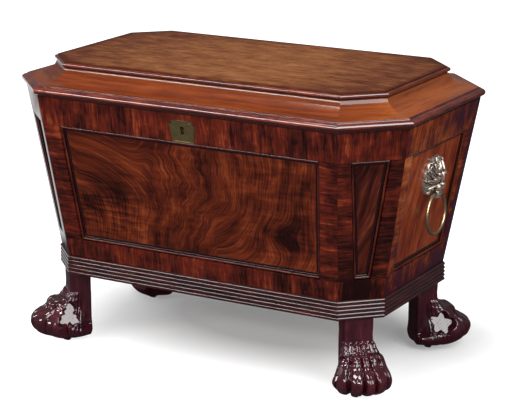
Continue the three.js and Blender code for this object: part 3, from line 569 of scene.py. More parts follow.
# %% The profiles of the paw: how far each rib stands off the shaft, and at what height, in mm
PAW_AXIS, LEG_REACH, LEG_HALF = -10.0, 19.5, 25.0
STAGES = [134, 112, 100, 94, 88.5, 82, 77.5, 77.5, 78, 74,
          66, 60.5, 56, 49.5, 41.5, 33, 25, 19, 14, 10.6]
OUTWARD = [0, 0, 0, 2, 6, 10.5, 15.5, 21.5, 28.5, 34.5,
           39, 45.5, 54.5, 63, 67, 66.4, 62, 53, 39, 23]
CORNER_STAGES = [134, 112, 100, 94, 88, 82.5, 77, 73.5, 70, 66,
                 61.5, 56, 50, 43.5, 37, 31, 24.5, 18.5, 13.5, 10.6]
CORNER_OUT = [0, 0, 0, 1, 3.5, 6.5, 9.5, 12.5, 15.5, 18,
              20.5, 23, 25.5, 28, 30.4, 31.4, 30, 25.5, 18.5, 10]
SIDE_STAGES = [134, 112, 100, 94, 88, 82, 76, 70, 64, 58,
               52.5, 47, 42.5, 38, 34, 28, 21.5, 16, 12.4, 10.6]
HOLLOW_OUT = [0, 0, 0, 0, 0, 0, 0, 0.6, 2, 4, 6.4, 8.8, 11, 13.2, 15.2, 16.4, 16, 13, 8, 1]
FLANK_OUT = [0, 0, 0, 0, 0, 0, 0, 0, 0, 0, 0.3, 0.8, 1.6, 2.8, 4.4, 6.2, 6.6, 4.4, 0.5, -4]
HEEL_OUT = [0, 0, 0, 0, 0, 0, 0, 0, 0, 0, 0, 0, 0.2, 0.7, 1.4, 1.7, 1.0, -1, -3.5, -7]
BACK_OUT = [0, 0, 0, 0, 0, 0, 0, 0, 0, 0, 0, 0, 0, 0, 0.6, 0.8, 0, -1.5, -3.2, -5]
RIBS = np.array([
    (OUTWARD, STAGES), (np.array(OUTWARD) * 0.87, STAGES), (CORNER_OUT, CORNER_STAGES),
    (HOLLOW_OUT, SIDE_STAGES), (FLANK_OUT, SIDE_STAGES), (HEEL_OUT, SIDE_STAGES),
    *[(BACK_OUT, SIDE_STAGES)] * 3])
RIB_STEP = 22.5
print("ribs, each with its reaches and heights:", RIBS.shape)


# %% The smooth surface through the profiles
def through(table, place):
    """A smooth curve through the rows of a table at fractional row numbers: the Catmull-Rom
    cubic, which passes through every row with a slope of half the step between its neighbours."""
    row = np.clip(np.floor(place).astype(int), 1, len(table) - 3)
    f = (place - row).reshape(place.shape + (1,) * (table.ndim - 1))
    a, b, c, d = (table[row + k] for k in (-1, 0, 1, 2))
    return b + 0.5 * f * (c - a + f * (2 * a - 5 * b + 4 * c - d + f * (3 * (b - c) + d - a)))


def paw_surface(away, rows):
    """Through the ribs at each angle away from the middle toe, then through the stages down each
    rib. The fan is mirrored at its two ends, and the stages run on straight at theirs."""
    fan = np.concatenate([RIBS[1:2], RIBS, RIBS[-2:-1]])
    stages = through(fan, away / RIB_STEP + 1).transpose(2, 1, 0)
    stages = np.concatenate([2 * stages[:1] - stages[1:2], stages, 2 * stages[-1:] - stages[-2:-1]])
    stage = np.linspace(0, 1, rows) * (len(STAGES) - 1)
    out, z = np.moveaxis(through(stages, stage + 1), 1, 0)
    return out, z, stage[:, None]


def softly_smaller(a, b, soft):
    """The smaller of two lengths with their meeting rounded: -soft * log(e^(-a / soft) +
    e^(-b / soft))."""
    return -soft * np.logaddexp(-a / soft, -b / soft)


def shaft_reach(turn):
    """From the axis to the block's faces: the softly smaller of the two face distances."""
    ahead = np.where(np.cos(turn) > 0, LEG_REACH - PAW_AXIS, LEG_REACH + PAW_AXIS)
    ahead = ahead / np.maximum(abs(np.cos(turn)), 1e-3)
    return softly_smaller(ahead, LEG_HALF / np.maximum(abs(np.sin(turn)), 1e-3), 3)


print("from the axis to the faces, mm:", shaft_reach(np.radians([0, 90, 180])).round(1))


# %% The toes and the hair
def ease(share):
    """A step with soft ends: share^2 * (3 - 2 * share), for a share held between 0 and 1."""
    share = np.clip(share, 0, 1)
    return share**2 * (3 - 2 * share)


def toe_valleys(away, q):
    """How much is cut away between the toes: nothing down their middle, all of it where q, the
    toe's number, lies halfway between two toes."""
    toe = abs(q - np.round(q)) * 2
    return fade(away, 50, 1.6) * (0.5 * toe**2.4 + 0.5 * hill(toe, 1, 0.24))


def gouge_cuts(stage, away, q):
    """Hair as rows of cuts that sway a little on their way down: a ridged wave over q, deeper at
    the knuckles and beside the outer toes, in tufts."""
    cut = np.interp(stage, [0, 6, 8.5, 10, 14, 16.5, 17], [0, 1.6, 2.2, 2.2, 1.9, 0.9, 0])
    gouge = abs(np.sin(2 * np.pi * q + 0.5 * np.sin(stage * 0.6 + q * 2))) ** 0.7 - 0.55
    tuft = 0.8 + 0.2 * np.sin(1.1 * stage + 2.4 * np.round(q * 2))
    return cut * fade(away, 72, 3) * gouge * tuft * (1 + 0.7 * hill(away, 62, 14))


LOCK_ROWS = [(93, 10.4, 1.4, 0.5), (84.5, 10.4, 2.2, 0.0), (76, 11.0, 1.6, 0.5)]


def locks(y, z, away):
    """Rows of pointed locks across the ankle, each row with its top, the gap between its locks,
    how proud they stand, and a shift. Each lock starts at an arched line, swells out below it
    at once, and dies away down the paw."""
    out = 0
    for top, gap, proud, shift in LOCK_ROWS:
        flare = 1 + np.clip(92 - z, 0, 60) / 60
        cell = (y / (gap * flare) + shift + 0.5) % 1 - 0.5
        down = np.clip((top - 14 * cell**2 - z) / 3.2, 0, None)
        lock = ease(down) * np.exp(-down / 3.4) * np.clip(1 - (2 * cell) ** 2, 0, 1)
        out = out + proud * lock * ramp(away, 64, 54)
    return out


HOLLOW_X, HOLLOW_Z = 23, 51


def side_hollow(x, y, z):
    """The half width at which a gouge has scooped out the paw's side: a slope that leans in as
    it falls, and rises steeply outside the hollow's edge. The edge is a star, a circle with
    waves in its radius, and the two sides of a paw have different ones."""
    ray = np.arctan2(z - HOLLOW_Z, x - HOLLOW_X)
    far = np.hypot(x - HOLLOW_X, z - HOLLOW_Z)
    star = 16 + 3.4 * np.cos(5 * ray - 0.7) + 1.8 * np.cos(2 * ray + 0.5)
    other = 14 + 4 * np.cos(3 * ray + 1.4) + 5 * hill(ray, 1.9, 0.35) + 1.6 * np.sin(9 * ray)
    scoop = 24.4 + 0.43 * (66 - z) + 2 * np.maximum(far - np.where(y > 0, other, star), 0)
    return scoop + 0.05 * np.sin(x * 1.1 + 2 * np.sin(z / 5)) * np.sin(z * 0.9 + x / 3)


print("a gouge cut at stage 10, mm:", gouge_cuts(10, 0, np.linspace(0, 1, 5)).round(2))


# %% The whole paw
def carve_paw(rows=200):
    """Profile first, then toes, then hair. q numbers the toes from the middle one outwards."""
    turn = np.radians(np.concatenate([np.arange(-60, 60, 0.42), np.arange(60, 300, 1.25)]))
    away = abs(np.degrees(np.angle(np.exp(1j * turn))))
    q = np.interp(away, [0, 12.5, 34, 48, 180], [0, 1, 2, 2.5, 12.5])
    out, z, stage = paw_surface(away, rows)
    valley = toe_valleys(away, q)
    out = out - valley * np.interp(
        stage, [0, 5, 7, 9, 11, 14, 16, 18, 19], [0, 0, 2.4, 6, 8.4, 10.6, 10.4, 7, 3.5])
    z = z + valley * np.interp(stage, [0, 14, 17, 19], [0, 0, 3.2, 4.5])
    y = (shaft_reach(turn) + out) * np.sin(turn)
    out = out + gouge_cuts(stage, away, q)
    hairline = 96 - 22 * ((y / 10.4) % 1 - 0.5) ** 2
    out = out * np.where(z > 78, ease((hairline - z) / 6), 1)
    flank = np.exp(-(((away - 82) / 26) ** 4))
    out = out + flank * (3.2 * hill(z, 23, 7) - 2.4 * hill(z, 34, 2.4)) + locks(y, z, away)
    reach = shaft_reach(turn) * (1 - 0.02 * hill(z, 106, 9)) + out
    x, y = PAW_AXIS + reach * np.cos(turn), reach * np.sin(turn)
    y = np.sign(y) * softly_smaller(abs(y), side_hollow(x, y, z), 1.2)
    return np.dstack([x, y, z])


CASTOR_AXIS, POCKET, POCKET_TOP, SOLE = 16, 22.5, 29.6, 10.8


def pocket(sole, radius, height):
    """One loop of the castor's round pocket, in the directions of the sole's points."""
    way = sole[:, :2] - (CASTOR_AXIS, 0)
    way = way / np.linalg.norm(way, axis=1, keepdims=True)
    level = np.full(len(way), float(height))
    return np.column_stack([way * radius + (CASTOR_AXIS, 0), level])[None]


paw = carve_paw()
leg_points = np.vstack([paw[:1] * (0.3, 0.3, 1), paw, pocket(paw[-1], POCKET, SOLE),
                        pocket(paw[-1], POCKET, POCKET_TOP), pocket(paw[-1], 1, POCKET_TOP)])
print("paw:", leg_points.shape, "from", paw.min((0, 1)).round(1), "to", paw.max((0, 1)).round(1))

# %% The four legs
LEG_ALONG, LEG_ACROSS = 278 * MM, 131 * MM
CORNERS = {"front_right": (1, -1), "rear_right": (1, 1),
           "rear_left": (-1, 1), "front_left": (-1, -1)}


def at_corner(points, sx, sy):
    """Points from a leg's own axes, +X outwards at the corner, to the frame of the object."""
    way = np.arctan2(sy, sx)
    c, s = np.cos(way), np.sin(way)
    turned = points @ np.array([[c, s, 0], [-s, c, 0], [0, 0, 1]])
    return turned * MM + (sx * LEG_ALONG, sy * LEG_ACROSS, 0)


legs = {name: skin(name + "_leg_carved", at_corner(leg_points, *way), around=True, poles=True,
                   sharp=50)
        for name, way in CORNERS.items()}
print("legs:", {name: len(leg.data.polygons) for name, leg in legs.items()})

# %% [markdown]
# ## The lion masks
# A cast brass lion's head at each end, with a ring in its mouth. A casting like this is a relief:
# seen from the front, every place has one height. So the head is one polar grid, flat at the
# back, and its height is built up like clay: a dome, the face, the brows, the eyes and the
# muzzle are stretched balls, and the mane is two layers of locks.

# %% The clay of the head
def ball(x, y, at, size, turn=0.0):
    """The height of a stretched ball over (x, y): at z plus its half height times the root."""
    c, s = np.cos(np.radians(turn)), np.sin(np.radians(turn))
    u, v = (x - at[0]) * c + (y - at[1]) * s, (y - at[1]) * c - (x - at[0]) * s
    rest = 1 - (u / size[0]) ** 2 - (v / size[1]) ** 2
    return np.where(rest > 0, at[2] + size[2] * np.sqrt(np.maximum(rest, 0)), -5.0)


def softly_highest(heights, soft=0.8):
    """The highest of several heights with their meetings rounded: soft * log of the sum of
    e^(height / soft)."""
    return soft * np.log(sum(np.exp(height / soft) for height in heights))


def mane(x, y, inner, outer, count, lift, tall, shift):
    """Locks that start at an inner circle and curl outwards: the angle is wound with the radius,
    and a lock's height is a ridged wave round the head, thinned to a point at its end."""
    radius, angle = np.hypot(x, y - 1), np.arctan2(x, y - 1)
    run = (radius - inner) / (outer - inner)
    wave = (abs(angle) / (2 * np.pi) * count + shift + 0.35 * run) % 1 - 0.5
    width = np.clip(1.15 - run, 0.02, 1) ** 0.6
    crest = np.clip(1 - (abs(wave) * 2 / width) ** 2, 0, 1) * (1 - 0.4 * hill(wave, 0, 0.09))
    lock = lift + tall * crest * np.clip(1.2 - run, 0, 1) ** 0.5
    return np.where((run > -0.1) & (run < 1.1), lock, -5.0)


print("the nose's ball is", ball(0, -8, (0, -8, 21), (6.4, 4.8, 9)), "mm high")


# %% The relief of the head, in mm
MASK_ROWS, MASK_COLUMNS, DRAWN, CAST = 110, 360, 80, 75


def face_of_lion(x, y):
    """Dome, cheeks and brows, forehead, nose and muzzle as balls. Sockets, the nostrils, the
    line of the muzzle and the whisker rows are then taken off, and the eyes put in."""
    side = abs(x)
    dome = 12.5 * np.sqrt(np.clip(1 - (np.hypot(x, y - 1) / 41) ** 2, 0, 1))
    height = softly_highest([
        dome, ball(x, y, (0, 2, 6), (19, 22, 16)),
        ball(side, y, (8.5, 10.5, 18), (7.5, 4.2, 7), 16),
        ball(side, y, (13, 0, 13), (7.5, 8, 8)), ball(x, y, (0, 3, 15), (4.6, 13, 12)),
        ball(x, y, (0, -8, 21), (6.4, 4.8, 9)), ball(side, y, (5.6, -14.5, 17), (7.4, 7.8, 10.5)),
        ball(x, y, (0, 17, 14), (9, 7, 6))])
    height = height - 4.5 * hill(side, 8.2, 4.2) * hill(y, 4.6, 2.8)
    height = softly_highest([height, ball(side, y, (8.2, 4.4, 16.6), (2.9, 2.2, 3.2))], 0.4)
    height = height - 1.4 * hill(side, 0, 0.8) * (y < -11) * (y > -22)
    height = height - 2.2 * hill(side, 3.1, 1.3) * hill(y, -10.6, 1.2)
    return height - 0.35 * abs(np.sin(y * 1.9)) * hill(side, 9, 5) * hill(y, -14, 6)


def lion_head():
    """A polar grid out to a scalloped edge. Below the mouth the height is held down to leave
    room for the ring, and at the edge it falls to the panel."""
    turn = np.linspace(0, 2 * np.pi, MASK_COLUMNS, endpoint=False)[None, :]
    chin = hill(np.angle(np.exp(1j * (turn + np.pi / 2))), 0, 0.5)
    scallop = 36.5 + 2.6 * abs(np.cos(turn * 6.5 + 0.3)) ** 0.7 - 3.2 * chin
    share = np.linspace(0, 1, MASK_ROWS)[:, None] ** 0.9
    x, y = share * scallop * np.cos(turn), share * scallop * np.sin(turn) + 1
    side, upper = abs(x), mane(x, y, 17, 31, 11, 8.5, 11.5, 0.25)
    upper = np.where((y < -14) & (side < 16), -5, upper)
    lower = mane(x, y, 24, 41, 13, 3.5, 9.5, 0.0)
    height = softly_highest([face_of_lion(x, y), upper, lower], 0.5)
    room = ramp(y, -21, -23.5) * ramp(side, 31, 28)
    height = height * (1 - room) + np.minimum(height, 10.5) * room
    height = height * ramp(share, 1, 0.965) ** 0.5
    return np.dstack([x, y, np.maximum(height, 0.35)])


relief = lion_head()[1:] * CAST / DRAWN
rim = relief[-1:] * (1, 1, 0) + (0, 0, 0.3)
head_points = np.vstack([relief, rim, rim * (0.2, 0.2, 1)])
print("lion head:", head_points.shape, "height", head_points[..., 2].max().round(1), "mm")

# %% The two masks
MASK_RISE, PANEL_FACE = 0.625 * (BODY_TOP - BODY_BOTTOM) * SLOPE, -6.6 * MM
RING_HOLE, HOLE_Y, HOLE_Z = 4.1, -25.3, 15.56


def jaw_loop():
    """The lower jaw, bent round the ring's wire: circles about a line along X, swollen below."""
    turn = np.linspace(0, 2 * np.pi, 64, endpoint=False)[None, :]
    across = np.linspace(-1, 1, 41)[:, None]
    thick = np.sqrt(np.clip(1 - abs(across) ** 2.6, 0, 1))
    outer = 4.2 + thick * (4.1 + 2 * np.clip(-np.sin(turn), 0, 1) + 0.3 * np.cos(9 * turn))

    def circles(radius, run):
        y, z = HOLE_Y + radius * np.sin(turn), HOLE_Z + radius * np.cos(turn)
        return np.dstack([8 * run + 0 * y, y, z])
    return np.vstack([circles(outer, across), circles(RING_HOLE + 0 * across, across[::-1])])


def on_mask(side, points):
    """From the mask's own axes to the object's, on the face of that end's panel."""
    return on_wall(side, points * MM + (0, MASK_RISE, PANEL_FACE))


masks, jaws = {}, {}
for side in (0, 4):
    head, jaw = on_mask(side, head_points), on_mask(side, jaw_loop())
    masks[side] = skin(SIDES[side] + "_lion_cast", head, around=True, poles=True, sharp=60)
    jaws[side] = skin(SIDES[side] + "_lion_jaw", jaw, around=True, along=True, sharp=60)
print("masks:", [mask.name for mask in masks.values()])

# %% [markdown]
# ## The rings, castors and escutcheon
# A ring handle is a tube bent round a circle. Its wire is a little thinner at the top, where it
# has worn in the jaw. The castors' wheels are turned, so their profile is spun round the axle.
# The escutcheon is sheet brass, filed to an outline. It is a polar grid round the keyhole: on
# every ray the rows run from the plate's edge, over a raised rim, to the keyhole and into it.

# %% The two rings
RING_RADIUS, WIRE_RADIUS = 35.5 * MM, 3 * MM


def ring_handle(side):
    """A circle in Y and Z about the middle of the node's box, and circles of the wire on it."""
    middle = np.mean(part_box(SIDES[side] + "_ring"), axis=0)
    turn = np.linspace(0, 2 * np.pi, 144, endpoint=False)[:, None]
    round_wire = np.linspace(0, 2 * np.pi, 28, endpoint=False)[None, :]
    worn = 0.1 * hill(np.angle(np.exp(1j * (turn - np.pi / 2))), 0, 0.35)
    wire = WIRE_RADIUS * (1 - worn) - 0.02 * MM
    out = RING_RADIUS + wire * np.cos(round_wire)
    points = np.dstack([middle[0] + wire * np.sin(round_wire), middle[1] + out * np.cos(turn),
                        middle[2] + out * np.sin(turn)])
    return skin(SIDES[side] + "_ring_handle", points, around=True, along=True)


rings = {side: ring_handle(side) for side in (0, 4)}
print("rings hang at", [tuple(round(v, 4) for v in rings[side].bound_box[0]) for side in (0, 4)])


# %% The escutcheon
def reach_of(outline, middle, turn):
    """How far a closed outline lies from its middle along each ray: the outline is filled with
    points, and their distances are read off in the order of their angles."""
    outline = np.vstack([outline, outline[:1]]) - middle
    step = np.linspace(0, 1, 60)[None, :, None]
    fine = (outline[:-1, None] * (1 - step) + outline[1:, None] * step).reshape(-1, 2)
    angle, far = np.arctan2(fine[:, 1], fine[:, 0]), np.hypot(*fine.T)
    order = np.argsort(angle)
    return np.interp(turn, angle[order], far[order], period=2 * np.pi)


def escutcheon_plate(columns=240, rows=40):
    """Rows: up the plate's edge, over the rim, across the plate, and down into the keyhole, whose
    rows are painted nearly black as its shade. Four pins show as small domes."""
    top = (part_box("escutcheon")[1][2] - BODY_BOTTOM) * SLOPE / MM - 0.3
    plate = np.array([
        (-20.5, top - 38.6), (20.5, top - 38.6), (26, top - 7.5), (20.5, top - 7.5), (20.5, top),
        (-20.5, top), (-20.5, top - 7.5), (-26, top - 7.5)])
    hole = np.vstack([(-2.5, top - 24.4), (2.5, top - 24.4),
                      *arc((0, top - 14), (3.5, 3.5), -42, 222, 20)])
    middle, turn = np.array([0, top - 17]), np.linspace(-np.pi, np.pi, columns, endpoint=False)
    outer, inner = reach_of(plate, middle, turn), reach_of(hole, middle, turn)
    across = [inner + 0.4 + share * (outer - 2.2 - inner) for share in np.linspace(1, 0, rows)]
    out = np.array([outer, outer, outer - 0.6, outer - 1.5, outer - 2, *across,
                    inner, inner, inner * 0.9])
    height = np.array([0.05, 0.8, 1.38, 1.38, 1.1] + [1.1] * rows + [0.9, 0.2, 0.15])[:, None]
    s, h = middle[0] + out * np.cos(turn), middle[1] + out * np.sin(turn)
    row = np.arange(len(out))[:, None]
    for at, down in ((15, -5), (14, -33)):
        pin = np.clip(1 - ((abs(s) - at) ** 2 + (h - top - down) ** 2) / 1.4**2, 0, 1)
        height = height + 0.5 * np.sqrt(pin) * (row < rows + 4)
    return skin("escutcheon_filed", on_wall(6, np.dstack([s, h, height]) * MM), around=True,
                poles=True, hollow=row > rows + 4)


plate = escutcheon_plate()
print("escutcheon", plate.dimensions[:])

# %% The castors' wheels
WHEEL_RADIUS, EASED = 11.83, 1.6


def turned_wheel(name):
    """Half a profile of (radius, across) pairs in mm, mirrored, and spun round the axle, which
    lies along X. Each face has a hollow between the hub and the tyre."""
    low, high = np.array(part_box(name + "_castor_wheel"))
    middle, half = (low + high) / 2, (high - low)[0] / 2 / MM
    near = np.vstack([
        (2.8, -half), (4.6, -half), (4.9, 0.7 - half), (8.6, 0.7 - half), (8.9, -half),
        *arc((WHEEL_RADIUS - EASED, EASED - half), (EASED, EASED), 270, 360, 6)])
    r, across = np.hsplit(np.vstack([near, near[::-1] * (1, -1)]) * MM, 2)
    turn = np.linspace(0, 2 * np.pi, 56, endpoint=False)[None, :]
    points = np.dstack([middle[0] + across + 0 * turn, middle[1] + r * np.cos(turn),
                        middle[2] + r * np.sin(turn)])
    return skin(name + "_wheel_turned", points, around=True, along=True, sharp=40)


wheels = {name: turned_wheel(name) for name in CORNERS}
print("wheel box", wheels["front_right"].dimensions[:])

# %% [markdown]
# ## Colours and nodes
# Colours are written as the hex values that one reads off a screen. Shaders work with linear
# light, so one function turns hex into linear values. One more function adds a node, and links
# or sets its sockets, which keeps the materials below short enough to read.

# %% Helpers for materials
def linear(colour):
    """sRGB hex to linear: c / 12.92 up to 0.04045, and ((c + 0.055) / 1.055) ^ 2.4 above."""
    c = np.array([int(colour[i:i + 2], 16) for i in (1, 3, 5)]) / 255
    return (*np.where(c <= 0.04045, c / 12.92, ((c + 0.055) / 1.055) ** 2.4), 1)


def add(tree, kind, sockets=(), **settings):
    """Adds a node. Sockets go by name, or by number from the top: a Map Range's are the value,
    the two ends that it comes from, and the two that it goes to. A socket that is given another
    node is linked to its first output."""
    made = tree.nodes.new("ShaderNode" + kind)
    for key, value in settings.items():
        setattr(made, key, value)
    for key, value in dict(sockets).items():
        if isinstance(value, bpy.types.Node):
            value = value.outputs[0]
        if isinstance(value, bpy.types.NodeSocket):
            tree.links.new(value, made.inputs[key])
        else:
            made.inputs[key].default_value = value
    return made


def blend_colours(ramp_node, *stops):
    """Sets a colour ramp's stops from pairs of a place and a hex colour."""
    elements = ramp_node.color_ramp.elements
    for spare in list(elements)[1:]:
        elements.remove(spare)
    for number, (place, colour) in enumerate(stops):
        stop = elements[0] if number == 0 else elements.new(place)
        stop.position, stop.color = place, linear(colour)
    return ramp_node


def new_finish(name):
    """A new material with an empty tree, and its output node."""
    made = bpy.data.materials.new(name)
    made.use_nodes = True
    made.node_tree.nodes.clear()
    return made, made.node_tree, made.node_tree.nodes.new("ShaderNodeOutputMaterial")


print("the grey #808080 in linear light:", round(linear("#808080")[0], 3))

# %% [markdown]
# ## French-polished mahogany
# The box is veneered with Cuban mahogany. Under the polish one sees dark and light growth bands
# along the grain, fine fibre lines, short dark pores, a shimmer across the grain where the
# fibres curl, and cloudy patches. Shellac fills the pores and gives a clear, slightly rippled
# gloss: a coat over the wood. An image would be the quick way, but noise that is stretched along
# the grain stays sharp at every distance and follows each piece's own grain. All the patterns
# are added up to one tone, which a ramp of a few browns turns into colour. Real pores are only a
# tenth of a millimetre wide, too fine to show here, so they are drawn 1.5 mm wide.

# %% The mahogany material
STRENGTH = 2.6            # spreads a noise, which strays little from its middle, over the ramp
RIPPLE_STRENGTH = 3.4
RING_SWAY = 4.2           # how many growth rings the noise pushes a ring aside
BRUISE = "#a87c62"


def mahogany(name, tones, bands, clouds=(60, 34, 0.4), rings=0.0, ring_gap=5.5, ripple=0.0,
             wander=5.0, leaf=0.0, pores=0.35, specks=0.3, rough=0.36, shine=0.12, coat=0.0,
             coat_ior=1.5, gloss=0.09, waves=0.1, upright=None):
    """Mahogany under shellac. tones run from the darkest to the lightest place. bands lists the
    streaks as (length along the grain, width across it, strength), in mm. rings draws growth
    lines ring_gap apart, ripple a shimmer across the grain, and leaf the leaves of veneer that a
    crossbanding is laid in. upright is a turn in radians for grain on Object coordinates."""
    made, tree, out = new_finish(name)
    if upright is None:
        spot = add(tree, "UVMap", uv_map="grain").outputs[0]
    else:
        place = add(tree, "TexCoord").outputs["Object"]
        spot = add(tree, "Mapping", {0: place, "Rotation": upright}).outputs[0]

    def per_metre(length, width):
        """The scale of a pattern that is length by width millimetres."""
        return 1000 / length, 1000 / width, 1000 / width

    # Slow noise bends the fibres sideways, by up to half of wander either way.
    drift = add(tree, "VectorMath", {0: spot, 1: per_metre(90, 30)}, operation="MULTIPLY")
    drift = add(tree, "TexNoise", {"Vector": drift, "Scale": 1, "Detail": 2}).outputs["Color"]
    drift = add(tree, "VectorMath", {0: drift, 1: (0.5, 0.5, 0.5)}, operation="SUBTRACT")
    sideways = (0, wander * MM, wander * MM)
    bent = add(tree, "VectorMath", {0: drift, 1: sideways, 2: spot}, operation="MULTIPLY_ADD")

    def streaks(length, width, detail=2, source=bent):
        """Noise drawn out along the grain, from about -0.5 to 0.5."""
        drawn = {0: source, 1: per_metre(length, width)}
        drawn = add(tree, "VectorMath", drawn, operation="MULTIPLY")
        noise = {"Vector": drawn, "Scale": 1, "Detail": detail, "Roughness": 0.6}
        noise = add(tree, "TexNoise", noise)
        return add(tree, "Math", {0: noise, 1: 0.5}, operation="SUBTRACT")

    shares = [(streaks(*clouds[:2], source=spot), STRENGTH * clouds[2]),
              # cloud holds the figure's clouds and, on some pieces, painted shade.
              (add(tree, "Attribute", attribute_name="cloud").outputs["Fac"], 1.0)]
    shares += [(streaks(length, width), STRENGTH * strength) for length, width, strength in bands]
    if ripple:
        mottle = add(tree, "Attribute", attribute_name="mottle").outputs["Fac"]
        curls = {0: mottle, 1: streaks(7, 46, source=spot)}
        shares.append((add(tree, "Math", curls, operation="MULTIPLY"), RIPPLE_STRENGTH * ripple))
    if rings:
        # A saw wave, one tooth to each ring: 0.24 times RING_SWAY is one ring.
        across = add(tree, "SeparateXYZ", {0: bent}).outputs[1]
        phase = {0: across, 1: 0.24 / (ring_gap * MM), 2: streaks(300, 26)}
        phase = add(tree, "Math", phase, operation="MULTIPLY_ADD")
        phase = add(tree, "Math", {0: phase, 1: RING_SWAY}, operation="MULTIPLY")
        tooth = add(tree, "Math", {0: phase}, operation="FRACT")
        shares.append((add(tree, "Math", {0: tooth, 1: 2.2}, operation="POWER"), -rings))
    if leaf:
        # Each leaf of the crossbanding is a little darker or lighter than the next.
        across = add(tree, "SeparateXYZ", {0: spot}).outputs[1]
        number = add(tree, "Math", {0: across, 1: 1 / (leaf * MM)}, operation="MULTIPLY")
        number = add(tree, "Math", {0: number}, operation="FLOOR")
        each = add(tree, "TexWhiteNoise", {"W": number}, noise_dimensions="1D").outputs["Value"]
        shares.append((add(tree, "Math", {0: each, 1: 0.5}, operation="SUBTRACT"), 0.3))
    tone = 0.5
    for pattern, share in shares:
        tone = add(tree, "Math", {0: pattern, 1: share, 2: tone}, operation="MULTIPLY_ADD")
    stops = zip(np.linspace(0.06, 0.94, len(tones)), tones)
    colour = blend_colours(add(tree, "ValToRGB", {0: tone}), *stops)

    pits = streaks(9, 1.5, 1)
    dark_pits = add(tree, "MapRange", {0: pits, 1: 0.08, 2: 0.2, 3: 1.0, 4: 1 - pores})
    colour = add(tree, "VectorMath", {0: colour, 1: dark_pits}, operation="MULTIPLY")
    bruise = {"Vector": spot, "Scale": 1 / (6 * MM), "Detail": 3, "Roughness": 0.75}
    bruise = add(tree, "TexNoise", bruise)
    bruise = add(tree, "MapRange", {0: bruise, 1: 0.72, 2: 0.78, 3: 0.0, 4: specks})
    colour = add(tree, "MixRGB", {0: bruise, 1: colour.outputs[0], 2: linear(BRUISE)})
    swell = add(tree, "TexNoise", {"Vector": spot, "Scale": 1 / (16 * MM), "Detail": 3})
    height = add(tree, "Math", {0: pits, 1: -0.12, 2: swell}, operation="MULTIPLY_ADD")
    bump = add(tree, "Bump", {"Height": height, "Strength": waves, "Distance": 1.5 * MM})
    shader = add(tree, "BsdfPrincipled", {
        "Base Color": colour, "Roughness": rough, "IOR": 1.5, "Specular IOR Level": shine,
        "Normal": bump, "Coat Weight": coat, "Coat Roughness": gloss, "Coat IOR": coat_ior,
        "Coat Normal": bump})
    tree.links.new(shader.outputs[0], out.inputs[0])
    return made


# %% The veneers of the box
# Crossbanding: short dark leaves with bold streaks, freshly polished, so it mirrors the room.
crossbanding = mahogany(
    "crossbanded_mahogany", ("#170504", "#2a0b07", "#40130b", "#571b0e", "#74341c"),
    [(150, 26, 0.4), (44, 7, 0.36), (30, 2.4, 0.34)], clouds=(26, 40, 0.34), leaf=47, rough=0.2,
    shine=0.1, coat=0.5, gloss=0.05, waves=0.06)
# The ends: the same leaves, but lighter and duller, with a purple darkest tone for the painted
# shade on each end's rear stile.
end_banding = mahogany(
    "end_crossbanded_mahogany", ("#34101c", "#521e10", "#6e3014", "#88441f", "#a05a32"),
    [(150, 26, 0.3), (44, 7, 0.28), (30, 2.4, 0.26)], clouds=(26, 40, 0.3), leaf=64, rough=0.24,
    shine=0.2)
# Flame: veneer from the fork of a trunk, with growth lines that billow and a shimmer across.
flame = mahogany(
    "flame_mahogany", ("#1c0806", "#351109", "#4e1c0e", "#652a13", "#7c3f1f"),
    [(120, 15, 0.26), (60, 5, 0.2), (34, 2.2, 0.13)], clouds=(46, 30, 0.36), rings=0.22,
    ripple=0.34, wander=7, rough=0.22, shine=0.15)
# The cants' panels are darker and nearly straight in the grain.
cant_figure = mahogany(
    "cant_panel_mahogany", ("#160504", "#270b07", "#3a130c", "#4f2013", "#66341d"),
    [(150, 14, 0.36), (60, 4.5, 0.3), (34, 2.2, 0.2)], rings=0.12, ring_gap=8, rough=0.2,
    shine=0.22)
# The ends' panels have the open, even streaks of a board that was cut on the quarter.
end_figure = mahogany(
    "end_panel_mahogany", ("#3a1009", "#581e10", "#702d16", "#863d1d", "#9e5229"),
    [(240, 15, 0.3), (70, 4.5, 0.2), (34, 2, 0.2)], clouds=(60, 34, 0.3), pores=0.45, specks=0.1,
    rough=0.24)
# The lid's field is sun-bleached to a golden brown, with a thin and rather dry polish.
lid_figure = mahogany(
    "lid_field_mahogany", ("#401b0b", "#562b15", "#6c3e20", "#7c4d2b", "#8c5c38"),
    [(90, 9, 0.26), (34, 3.4, 0.28), (16, 2, 0.3)], clouds=(60, 30, 0.34), pores=0.35, rough=0.26,
    shine=0.04)
# The cove is straight-grained and orange, with a soft gleam from a worn coat of shellac.
cove_figure = mahogany(
    "cove_mahogany", ("#421808", "#5a230c", "#703211", "#86431b"),
    [(260, 12, 0.35), (120, 3.4, 0.25)], clouds=(90, 24, 0.35), pores=0.3, rough=0.34,
    shine=0.06, coat=0.8, gloss=0.14)
print("veneers:", [m.name for m in (crossbanding, end_banding, flame, cant_figure, end_figure,
                                    lid_figure, cove_figure)])

# %% The solid mahogany: mouldings and carving
# Mouldings are planed from the solid and well rubbed: fine straight streaks under a thick coat,
# which draws bright lines along their crests.
PLANED = dict(rough=0.24, shine=0.2, gloss=0.05)
FINE_STREAKS = [(120, 5, 0.4), (40, 2, 0.3)]
dark_moulding = mahogany(
    "dark_moulding_mahogany", ("#1c0605", "#300d09", "#46170f", "#5c2415"), FINE_STREAKS,
    coat=0.5, coat_ior=1.6, waves=0.06, **PLANED)
end_moulding = mahogany(
    "end_moulding_mahogany", ("#260b06", "#40180b", "#5a2812", "#72381c"), FINE_STREAKS,
    coat=0.5, coat_ior=1.6, waves=0.06, **PLANED)
